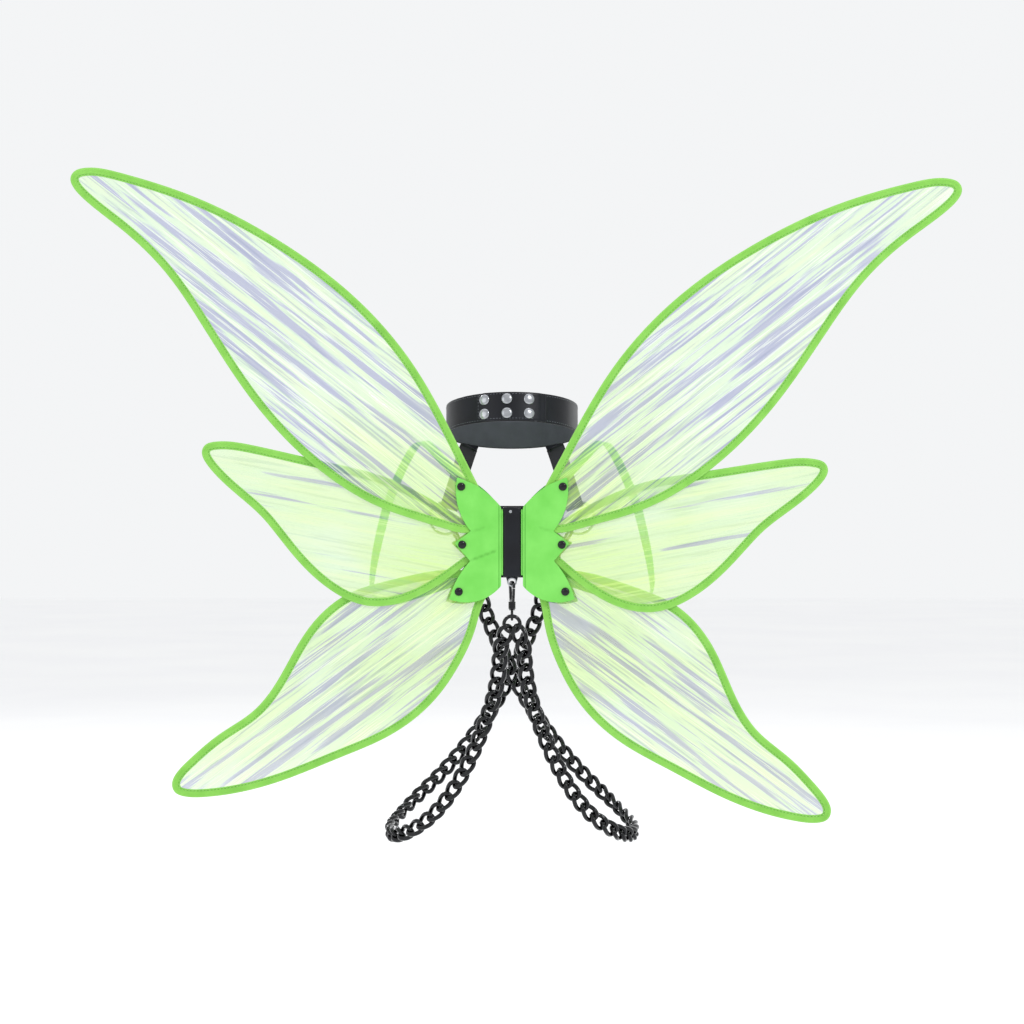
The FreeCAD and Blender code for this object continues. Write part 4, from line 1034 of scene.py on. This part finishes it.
# %% Spine backing, its stitches, and the tab at its foot
def round_box(half_x, half_y, radius, middle_y=0.0, steps=6):
    """The outline of a box with round corners, in mm."""
    points = []
    for cx, cy, start in ((1, 1, 0), (-1, 1, 90), (-1, -1, 180), (1, -1, 270)):
        for n in range(steps + 1):
            turn = math.radians(start + 90 * n / steps)
            points.append((cx * (half_x - radius) + radius * math.cos(turn),
                           middle_y + cy * (half_y - radius) + radius * math.sin(turn)))
    return points


backing_place = Matrix(((1, 0, 0, 0), (0, 0, 1, 0), (0, 1, 0, 0), (0, 0, 0, 1)))
bm = cut_leather(round_box(25, 36, 6, 4), 1.2, backing_place,
                 lambda x, y: (0.15 * noise.noise(Vector((x / 12, y / 12, 2))), 0), 3.0)
backing = even_shading(
    piece("spine_pad_leather", bm, "harness", BLACK_LEATHER, ["spine_backing"]))
bm = sewn_line(round_box(22.8, 33.8, 4, 4), backing_place, 1.2)
piece("spine_pad_seam", bm, "harness", BLACK_THREAD)
print(backing.name, len(backing.data.polygons), "faces")

# %% Tab, eyelet and rivet of the spine
TAB_FRONT = 8.3
tab_foot = arc((-4.8, -36.2), (0, -41.0), (4.8, -36.2), 14)
tab_outline = [(-6.6, -28.5), (-4.8, -36.2)] + tab_foot + [(6.6, -28.5)]
tab_place = Matrix(((1, 0, 0, 0), (0, 0, 1, mm(TAB_FRONT)), (0, 1, 0, 0), (0, 0, 0, 1)))
bm = cut_leather(tab_outline, 1.8, tab_place, lambda x, y: (0, 0), 1.2)
HOLE_AT, HOLE_R = Vector((0, 0, mm(-36.2))), mm(3.5)
inner_verts = [v for v in bm.verts if math.hypot(v.co.x, v.co.z - HOLE_AT.z) < HOLE_R]
bmesh.ops.delete(bm, geom=inner_verts, context="VERTS")
for vert in bm.verts:
    if vert.is_boundary:
        offset = Vector((vert.co.x, 0, vert.co.z - HOLE_AT.z))
        vert.co += offset.normalized() * (mm(3.9) - offset.length)
bmesh.ops.bridge_loops(bm, edges=[e for e in bm.edges if e.is_boundary])
bmesh.ops.recalc_face_normals(bm, faces=bm.faces)
tab = even_shading(piece("spine_tab_leather", bm, "harness", BLACK_LEATHER, ["clasp_tab"]))

bm = bmesh.new()
eyelet_place = frame_at(Vector((0, mm(9.2), mm(-36.2))), (0, 1, 0))
ring = [(3.3, -1.2), (3.4, -1.3), (4.5, -1.3), (4.8, -1.1), (4.7, -0.95), (3.8, -0.9), (3.8, 0.9),
        (4.7, 0.95), (4.8, 1.1), (4.5, 1.3), (3.4, 1.3), (3.3, 1.2), (3.3, -1.2)]
turned(bm, [(mm(r), mm(h)) for r, h in ring], eyelet_place, 32)
piece("spine_eyelet_ring", bm, "harness", NICKEL, ["spine_eyelet"])
bm = bmesh.new()
turned(bm, dome_section(1.6, 0.9, 0.25, 5), frame_at(Vector((mm(1.5), mm(14.45), mm(34.5))), (0, 1, 0)), 18)
piece("spine_rivet_cap", bm, "harness", NICKEL, ["spine_rivet"])
print(tab.name, len(tab.data.polygons), "faces; eyelet and rivet turned")

# %% [markdown]
# ## The collar
#
# The collar is a leather band over a softer lining, closed at the back of the neck: one end steps up
# on to the other and is snapped down with six caps.  It is stitched along both edges with fine
# thread.  Everything on it is placed by an angle round the neck, 0 at the nape and growing towards
# the wearer's left, and by a height along the neck.

# %% Collar places and section
NECK_TILT = math.radians(12)
NECK_AXIS = Vector((0, -math.sin(NECK_TILT), math.cos(NECK_TILT)))
NECK_BACK = NECK_AXIS.cross(Vector((1, 0, 0)))
NECK_AT = Vector((0, mm(-75), mm(126)))
LINING_R, BAND_R, BAND_OUT, TAB_R, TAB_OUT = 65.0, 66.2, 67.6, 69.1, 70.5
HALF_HEIGHT = 15.0
print("collar bore", LINING_R, "mm in radius, centred at", tuple(round(c, 3) for c in NECK_AT))


def out_at(angle):
    """The way out of the neck at an angle in degrees."""
    turn = math.radians(angle)
    return Vector((1, 0, 0)) * math.sin(turn) + NECK_BACK * math.cos(turn)


def round_neck(radius, angle, height=0.0):
    """A place round the neck: radius and height in mm, angle in degrees."""
    return NECK_AT + out_at(angle) * mm(radius) + NECK_AXIS * mm(height)


def flat_section(half_width, half_thick, corner=0.45):
    """The section of a flat strap with soft edges, as (across, face) in metres."""
    w, t, c = half_width, half_thick, min(corner, half_thick * 0.9)
    points = []
    for a, f in ((w, t), (-w, t), (-w, -t), (w, -t)):
        sa, sf = math.copysign(1, a), math.copysign(1, f)
        first, second = (a, f - sf * c), (a - sa * c, f)
        mid = (a - sa * c * 0.29, f - sf * c * 0.29)
        corner_points = [first, mid, second]
        points += corner_points if sa == sf else corner_points[::-1]
    fine = []
    for here, after in zip(points, points[1:] + points[:1]):
        fine.append(here)
        gap = math.hypot(after[0] - here[0], after[1] - here[1])
        for k in range(1, int(gap / 2.5) + 1):
            share = k / (int(gap / 2.5) + 1)
            fine.append((here[0] + (after[0] - here[0]) * share, here[1] + (after[1] - here[1]) * share))
    return [(mm(a), mm(f)) for a, f in fine]


def band_stations(radius, first, last, step=2.0):
    """Stations of a strip round the neck, its width along the neck."""
    count = max(2, int(round((last - first) / step)))
    return [(round_neck(radius, first + (last - first) * n / count), NECK_AXIS,
             out_at(first + (last - first) * n / count)) for n in range(count + 1)]


# %% Band, lining and their stitches
FIRST, LAST = -20.0, 338.2
bm = bmesh.new()
strip(bm, band_stations((BAND_R + BAND_OUT) / 2, FIRST, LAST),
      flat_section(HALF_HEIGHT, (BAND_OUT - BAND_R) / 2),
      ripple=lambda n, c: mm(0.05) * noise.noise(Vector((n * 0.4, c * 0.3, 1))))
band = piece("collar_leather", bm, "harness", BLACK_LEATHER, ["collar_band"])
bm = bmesh.new()
strip(bm, band_stations((LINING_R + BAND_R) / 2, FIRST + 0.5, LAST - 0.5),
      flat_section(HALF_HEIGHT - 0.6, (BAND_R - LINING_R) / 2))
piece("collar_lining_leather", bm, "harness", LINING_LEATHER, ["collar_lining"])
bm = bmesh.new()
sewn = 0
for height in (-12.8, 12.8):
    stations = band_stations(BAND_OUT, FIRST + 3, LAST - 6)
    line = [at + NECK_AXIS * mm(height) for at, across, face in stations]
    sewn += stitches(bm, line, [face for at, across, face in stations], mm(3.2), mm(2.2), mm(0.42))
piece("collar_seam", bm, "harness", BLACK_THREAD)
print(band.name, len(band.data.polygons), "faces,", sewn, "stitches")

# %% [markdown]
# The free end steps up on to the band's other end.  It lifts when the snaps are pulled open, hinged
# where it steps up; here this one strip is built fixed, on neither the harness nor the tab.  Its end is
# rounded.

# %% Collar tab
HINGE, TAB_END, END_ROUND = -21.4, 31.0, 9.0
TAB_MID = (TAB_R + TAB_OUT) / 2
BAND_MID = BAND_OUT + 0.65


def tab_height(angle):
    """Half the tab's height at an angle, in mm: it ends in a round end."""
    to_end = (TAB_END - angle) * math.radians(1) * TAB_MID
    if to_end > END_ROUND:
        return HALF_HEIGHT - 0.5
    return HALF_HEIGHT - 0.5 - END_ROUND + math.sqrt(max(0.0, END_ROUND ** 2 - (END_ROUND - to_end) ** 2))


angles = [-30 + 1.2 * n for n in range(45)]
angles += [TAB_END - d for d in (7.4, 6.5, 5.6, 4.7, 3.8, 2.9, 2.1, 1.4, 0.9, 0.5, 0.2, 0.05)]
angles = sorted({round(a, 3) for a in angles if a <= TAB_END})
stations = []
for angle in angles:
    rise = min(max((angle + 29) / 6.5, 0), 1)
    radius = BAND_MID + (TAB_MID - BAND_MID) * rise * rise * (3 - 2 * rise)
    share = tab_height(angle) / HALF_HEIGHT
    stations.append((round_neck(radius, angle), NECK_AXIS * share, out_at(angle)))
bm = bmesh.new()
strip(bm, stations, flat_section(HALF_HEIGHT, (TAB_OUT - TAB_R) / 2))
tab_leather = piece("collar_tab_leather", bm, None, BLACK_LEATHER, ["collar_tab"])
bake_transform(tab_leather)

bm = bmesh.new()
edge_line, edge_faces = [], []
for sign in (-1, 1):
    part = [a for a in angles if HINGE + 3 <= a <= TAB_END - 2.1]
    for angle in (part if sign < 0 else part[::-1]):
        half = min(tab_height(angle), HALF_HEIGHT - 0.5) - 1.9
        edge_line.append(round_neck(TAB_OUT, angle, sign * half))
        edge_faces.append(out_at(angle))
sewn = stitches(bm, edge_line, edge_faces, mm(3.2), mm(2.2), mm(0.42))
piece("collar_tab_seam", bm, "collar_tab", BLACK_THREAD)
print(tab_leather.name, len(tab_leather.data.polygons), "faces,", sewn, "stitches")

# %% Snaps, collar rivets and studs
SNAP_ANGLES, SNAP_ROWS = (-14, 4.2, 23.2), (-7.3, 7.3)
caps, studs = bmesh.new(), bmesh.new()
for angle in SNAP_ANGLES:
    for height in SNAP_ROWS:
        at = frame_at(round_neck(TAB_OUT - 0.05, angle, height), out_at(angle), NECK_AXIS)
        turned(caps, dome_section(5.5, 2.2, 0.55, 10), at, 36)
        socket = [(0, -1.7), (2.1, -1.7), (2.1, -2.5), (3.6, -2.5), (3.6, -1.45), (1.5, -1.4),
                  (1.5, 0.1), (0, 0.1)]
        turned(caps, [(mm(r), mm(h)) for r, h in socket], at, 24)
        foot = frame_at(round_neck(BAND_OUT - 0.02, angle, height), out_at(angle), NECK_AXIS)
        stud = [(0, 0), (2.4, 0), (2.4, 0.2), (1.4, 0.25), (1.3, 0.6), (1.6, 0.85), (1.3, 1.0), (0, 1.0)]
        turned(studs, [(mm(r), mm(h)) for r, h in stud], foot, 24)
piece("tab_snap_caps", caps, "collar_tab", NICKEL, ["snap_caps"])
piece("collar_snap_studs", studs, "harness", NICKEL, ["snap_studs"])

bm = bmesh.new()
for angle in (-139, 139):
    seat = frame_at(round_neck(BAND_OUT - 0.05, angle), out_at(angle))
    turned(bm, dome_section(4.25, 1.9, 0.45, 9), seat, 32)
piece("collar_rivet_caps", bm, "harness", NICKEL, ["collar_rivets"])


def oval_stud(bm, angle, width, height):
    """A smooth oval cabochon in a thin rolled rim, with its long side upright."""
    start = len(bm.verts)
    place = frame_at(round_neck(BAND_OUT - 0.1, angle), out_at(angle), NECK_AXIS)
    section = [(0, 0), (1.0, 0), (1.0, 0.7), (0.975, 1.15), (0.92, 1.4), (0.86, 1.35), (0.81, 1.1),
               (0.79, 0.8)]
    section += [(0.78 * math.cos(math.radians(t)), 0.8 + 2.6 * math.sin(math.radians(t)))
                for t in range(8, 90, 9)]
    section += [(0, 3.4)]
    turned(bm, [(r / 2, mm(h)) for r, h in section], Matrix.Identity(4), 48)
    bm.verts.ensure_lookup_table()
    scale = Matrix.Diagonal((mm(height), mm(width), 1, 1))
    for vert in bm.verts[start:]:
        vert.co = place @ (scale @ vert.co)


bm = bmesh.new()
for angle, width, height in ((180, 15, 22), (156.5, 10.5, 17), (203.5, 10.5, 17)):
    oval = bmesh.new()
    oval_stud(oval, angle, width, height)
    scrap = bpy.data.meshes.new("oval")
    oval.to_mesh(scrap)
    oval.free()
    bm.from_mesh(scrap)
    bpy.data.meshes.remove(scrap)
bmesh.ops.recalc_face_normals(bm, faces=bm.faces)
piece("collar_oval_studs", bm, "harness", BLACK_METAL, ["collar_studs"])
print("snaps, rivets and studs are on the collar")

# %% [markdown]
# ## The two drop straps and their O-rings
#
# Each strap is tucked under the band behind a rivet, hangs to the chest and is folded round its
# O-ring from front to back, with a second rivet through the fold.

# %% Drop straps and O-rings
RING_AT = Vector((mm(70), mm(-163), mm(24.5)))
RING_R, WIRE_R = 17.0, 1.5
STRAP_SKIN, STRAP_HALF = 1.1, 9.5
FOLD_LOW, FOLD_HIGH = 12.1, 18.6


def ring_place(side):
    """The placement of an O-ring: Z runs up its strap, Y towards the chest."""
    turn = Matrix.Rotation(math.radians(-18 * side), 4, "Y")
    return Matrix.Translation((RING_AT.x * side, RING_AT.y, RING_AT.z)) @ turn


def smooth_line(points, per_gap):
    """A Catmull-Rom curve through points."""
    ends = [points[0] * 2 - points[1]] + list(points) + [points[-1] * 2 - points[-2]]
    made = []
    for p0, p1, p2, p3 in zip(ends, ends[1:], ends[2:], ends[3:]):
        for k in range(per_gap):
            t = k / per_gap
            made.append(0.5 * ((2 * p1) + (p2 - p0) * t + (2 * p0 - 5 * p1 + 4 * p2 - p3) * t * t
                               + (3 * p1 - p0 - 3 * p2 + p3) * t ** 3))
    return made + [points[-1]]


for hand, side in SIDES.items():
    place = ring_place(side)
    angle = 139 * side
    local = [(-0.7, FOLD_HIGH + 12), (-0.7, FOLD_HIGH + 8), (-0.75, FOLD_HIGH + 4), (-1.4, FOLD_HIGH + 1.2),
             (-WIRE_R - 0.75, FOLD_HIGH - 1.2), (-WIRE_R - 0.75, FOLD_LOW + 1.0)]
    local += [((WIRE_R + 0.75) * -math.cos(math.radians(t)),
               FOLD_LOW + 0.2 - (WIRE_R + 0.55) * math.sin(math.radians(t)))
              for t in range(15, 180, 25)]
    local += [(WIRE_R + 0.75, FOLD_LOW + 1.0), (WIRE_R + 0.75, FOLD_HIGH - 1.2), (1.4, FOLD_HIGH + 1.2),
              (0.6, FOLD_HIGH + 4), (0.55, FOLD_HIGH + 7.4)]
    path = [round_neck(65.9, side * a, h) for a, h in ((143.6, -5), (141.8, -9), (140, -13))]
    path += smooth_line([round_neck(66.1, side * 138.4, -16.5), round_neck(67.6, side * 136.9, -20.5),
                         place @ Vector((0, mm(-0.2), mm(FOLD_HIGH + 17)))], 3)[:-1]
    path += [place @ Vector((0, mm(y), mm(z))) for y, z in local]
    path = smooth_line(path, 2)
    top_across = (path[4] - path[0]).cross(out_at(angle)).normalized()
    low_across = (place.to_3x3() @ Vector((1, 0, 0))).normalized()
    if top_across.dot(low_across) < 0:
        top_across = -top_across
    stations = []
    for n, at in enumerate(path):
        share = min(max((n - 5) / 11, 0), 1)
        across = top_across.lerp(low_across, share * share * (3 - 2 * share)).normalized()
        along = path[min(n + 1, len(path) - 1)] - path[max(n - 1, 0)]
        across = (across - along.normalized() * across.dot(along.normalized())).normalized()
        stations.append((at, across, along.cross(across).normalized()))
    bm = bmesh.new()
    strip(bm, stations, flat_section(STRAP_HALF, STRAP_SKIN / 2, 0.35))
    strap = piece(f"drop_leather_{hand}", bm, "harness", BLACK_LEATHER,
                  [f"drop_strap_{hand}"])
    bm = bmesh.new()
    front = [s for s in stations if (s[0] - NECK_AT).dot(NECK_AXIS) < mm(-15.5)]
    low_ones = (n for n, s in enumerate(front) if (place.inverted() @ s[0]).z < mm(FOLD_LOW + 1))
    front = front[:next(low_ones, len(front))]
    outward = -1 if front[-1][2].y > 0 else 1
    sewn = 0
    for edge in (-1, 1):
        line = [at + across * mm(edge * (STRAP_HALF - 1.6)) + face * outward * mm(STRAP_SKIN / 2)
                for at, across, face in front]
        sewn += stitches(bm, line, [face * outward for at, across, face in front], mm(3.0), mm(2.1), mm(0.42))
    piece(f"drop_seam_{hand}", bm, "harness", BLACK_THREAD)

    bm = bmesh.new()
    circle = [(mm(RING_R + WIRE_R * math.cos(math.tau * n / 16)), mm(WIRE_R * math.sin(math.tau * n / 16)))
              for n in range(17)]
    turned(bm, circle, place @ Matrix.Rotation(math.radians(90), 4, "X"), 72)
    piece(f"o_ring_metal_{hand}", bm, f"o_ring_{hand}", NICKEL, [f"o_ring_{hand}"])
    print(strap.name, len(strap.data.polygons), "faces,", sewn, "stitches")

bm = bmesh.new()
for side in SIDES.values():
    place = ring_place(side)
    at = frame_at(place @ Vector((0, mm(-1.35), mm(FOLD_HIGH + 3.6))), place.to_3x3() @ Vector((0, -1, 0)))
    turned(bm, dome_section(3.6, 1.5, 0.35), at, 28)
    at = frame_at(place @ Vector((0, mm(1.25), mm(FOLD_HIGH + 3.6))), place.to_3x3() @ Vector((0, 1, 0)))
    turned(bm, [(0, mm(-2.6)), (mm(1.3), mm(-2.6)), (mm(1.3), 0), (0, mm(0.1))], at, 16)
piece("drop_rivet_caps", bm, "harness", NICKEL, ["strap_rivets"])

# %% [markdown]
# ## Elastic shoulder straps
#
# Each strap leaves the top of the spine pad, goes over the shoulder, down the front of the arm and
# back under it.  Elastic follows the body and turns over itself a little under the arm.

# %% Shoulder straps
STRAP_Y = 1.8
SHOULDER = [
    ((12, STRAP_Y, 31), (0, 1, 0)), ((26, STRAP_Y, 42), (0, 1, 0)), ((48, -1, 64), (0, 1, 0.15)),
    ((70, -12, 86), (0, 1, 0.6)), ((85, -36, 101), (0.1, 0.6, 1)), ((94, -66, 104), (0.2, 0, 1)),
    ((103, -96, 96), (0.3, -0.6, 1)), ((116, -119, 73), (0.4, -1, 0.5)), ((129, -130, 42), (0.5, -1, 0.1)),
    ((138, -130, 8), (0.7, -1, 0)), ((144, -117, -24), (1, -0.8, 0)), ((145, -95, -48), (1, -0.2, -0.3)),
    ((138, -66, -58), (1, 0.4, -0.6)), ((118, -38, -56), (0.8, 0.9, -0.4)), ((90, -18, -47), (0.5, 1, -0.2)),
    ((58, -4, -36), (0.2, 1, 0)), ((30, STRAP_Y, -26), (0, 1, 0)), ((12, STRAP_Y, -20), (0, 1, 0)),
]
for hand, side in SIDES.items():
    points = smooth_line([Vector((mm(x * side), mm(y), mm(z))) for (x, y, z), face in SHOULDER], 9)
    faces = smooth_line([Vector((x * side, y, z)).normalized() for place, (x, y, z) in SHOULDER], 9)
    stations = []
    for n, (at, face) in enumerate(zip(points, faces)):
        along = (points[min(n + 1, len(points) - 1)] - points[max(n - 1, 0)]).normalized()
        across = along.cross(face).normalized()
        stations.append((at, across, across.cross(along).normalized()))
    bm = bmesh.new()
    strip(bm, stations, flat_section(5.0, 0.6, 0.3),
          ripple=lambda n, c: mm(0.1) * noise.noise(Vector((n * 0.25, 3, 1))))
    strap = piece(f"shoulder_elastic_{hand}", bm, "harness", ELASTIC, [f"shoulder_strap_{hand}"])
    print(strap.name, len(strap.data.polygons), "faces")

# %% [markdown]
# ## Clasps and joining ring
#
# The lobster clasps are small castings.  Their measured shape has hard edges, and a real casting has
# none, so each is taken from the measured solid, rebuilt as an even skin a fifth of a millimetre
# fine and rubbed smooth.


# %% Castings
def casting(node, name, body, finish, voxel=0.22, rubs=5):
    """A cast part: the measured solid with every edge rubbed round."""
    bm = bmesh.new()
    bm.from_mesh(NODES[node].data)
    bmesh.ops.remove_doubles(bm, verts=bm.verts, dist=1e-6)
    thing = piece(name, bm, body, finish, [node])
    skin = thing.modifiers.new("even_skin", "REMESH")
    skin.mode = "VOXEL"
    skin.voxel_size = mm(voxel)
    skin.use_smooth_shade = True
    rub = thing.modifiers.new("rubbed", "SMOOTH")
    rub.factor = 0.5
    rub.iterations = rubs
    return thing


for name in ("spine", "left", "right"):
    casting(f"clasp_hook_{name}", f"clasp_cast_{name}", f"clasp_{name}", BLACK_METAL)
    casting(f"clasp_gate_{name}", f"gate_cast_{name}", f"gate_{name}", BLACK_METAL, 0.2, 3)
casting("swivel_eyes", "swivel_eyes_cast", "harness", BLACK_METAL, 0.2, 3)
casting("joining_ring", "joining_ring_cast", "harness", BLACK_METAL, 0.25, 3)
print("clasps are cast")

# %% [markdown]
# ## The chain
#
# It is a curb chain: each link is an oval of wire, twisted so that the links lie flat in one another.
# Bent this way, a link's wire rises on one side where its neighbour's sinks, and they lock without
# touching.  The links are strung at the centres of the measured ones.  The whole chain rolls slowly
# along its length, as a heavy chain does on a body.

# %% Chain links
LINK_LONG, LINK_WIDE, LINK_TWIST, LINK_WIRE = 9.7, 6.2, 2.45, 2.4
LINK_STEPS, WIRE_STEPS = 28, 8
BODY_MIDDLE = Vector((0, mm(-95), 0))


def link_centres(node):
    """The centres of the measured links, in order along the chain."""
    bm = bmesh.new()
    bm.from_mesh(NODES[node].data)
    bmesh.ops.remove_doubles(bm, verts=bm.verts, dist=1e-6)
    left, centres = set(bm.verts), []
    while left:
        stack = [left.pop()]
        part = [stack[0]]
        while stack:
            for edge in stack.pop().link_edges:
                for vert in edge.verts:
                    if vert in left:
                        left.discard(vert)
                        stack.append(vert)
                        part.append(vert)
        box = [(min(v.co[k] for v in part), max(v.co[k] for v in part)) for k in range(3)]
        centres.append(Vector([(a + b) / 2 for a, b in box]))
    bm.free()
    start = min(centres, key=lambda c: (c - Vector((0, 0, mm(-85)))).length)
    chain = [start]
    centres.remove(start)
    while centres:
        nearest = min(centres, key=lambda c: (c - chain[-1]).length)
        centres.remove(nearest)
        chain.append(nearest)
    return chain


for hand in SIDES:
    centres = link_centres(f"chain_{hand}")
    bm = bmesh.new()
    for number, centre in enumerate(centres):
        along = (centres[min(number + 1, len(centres) - 1)] - centres[max(number - 1, 0)]).normalized()
        out = centre - BODY_MIDDLE
        out.z = 0
        face = (out - along * out.dot(along)).normalized()
        roll = 24 * noise.noise(Vector((number * 0.19, 5 * SIDES[hand], 2)))
        face = Matrix.Rotation(math.radians(roll), 3, along) @ face
        across = face.cross(along)
        rings = []
        for n in range(LINK_STEPS):
            turn = math.tau * n / LINK_STEPS
            spot = Vector((mm(LINK_LONG) * math.cos(turn), mm(LINK_WIDE) * math.sin(turn),
                           mm(LINK_TWIST) * math.sin(2 * turn)))
            run = Vector((-LINK_LONG * math.sin(turn), LINK_WIDE * math.cos(turn),
                          2 * LINK_TWIST * math.cos(2 * turn))).normalized()
            side_way = Vector((math.cos(turn) / LINK_LONG, math.sin(turn) / LINK_WIDE, 0)).normalized()
            up_way = run.cross(side_way).normalized()
            ring = []
            for w in range(WIRE_STEPS):
                angle = math.tau * w / WIRE_STEPS
                p = spot + mm(LINK_WIRE) * (side_way * math.cos(angle) + up_way * math.sin(angle))
                ring.append(bm.verts.new(centre + along * p.x + across * p.y + face * p.z))
            rings.append(ring)
        for here, after in zip(rings, rings[1:] + rings[:1]):
            for w in range(WIRE_STEPS):
                v = (w + 1) % WIRE_STEPS
                bm.faces.new((here[w], here[v], after[v], after[w]))
    bmesh.ops.recalc_face_normals(bm, faces=bm.faces)
    chain = piece(f"curb_chain_{hand}", bm, "harness", BLACK_METAL, [f"chain_{hand}"])
    print(chain.name, len(centres), "links,", len(chain.data.polygons), "faces")

shown = [name for name, node in NODES.items() if not node.hide_render]
print("measured solids still shown:", shown)



# %% [markdown]
# ## Sizes, and the end
#
# The measured box is printed.

# %% Sizes and finish
print("measured box", [[round(c, 3) for c in corner] for corner in CAD_BOX])
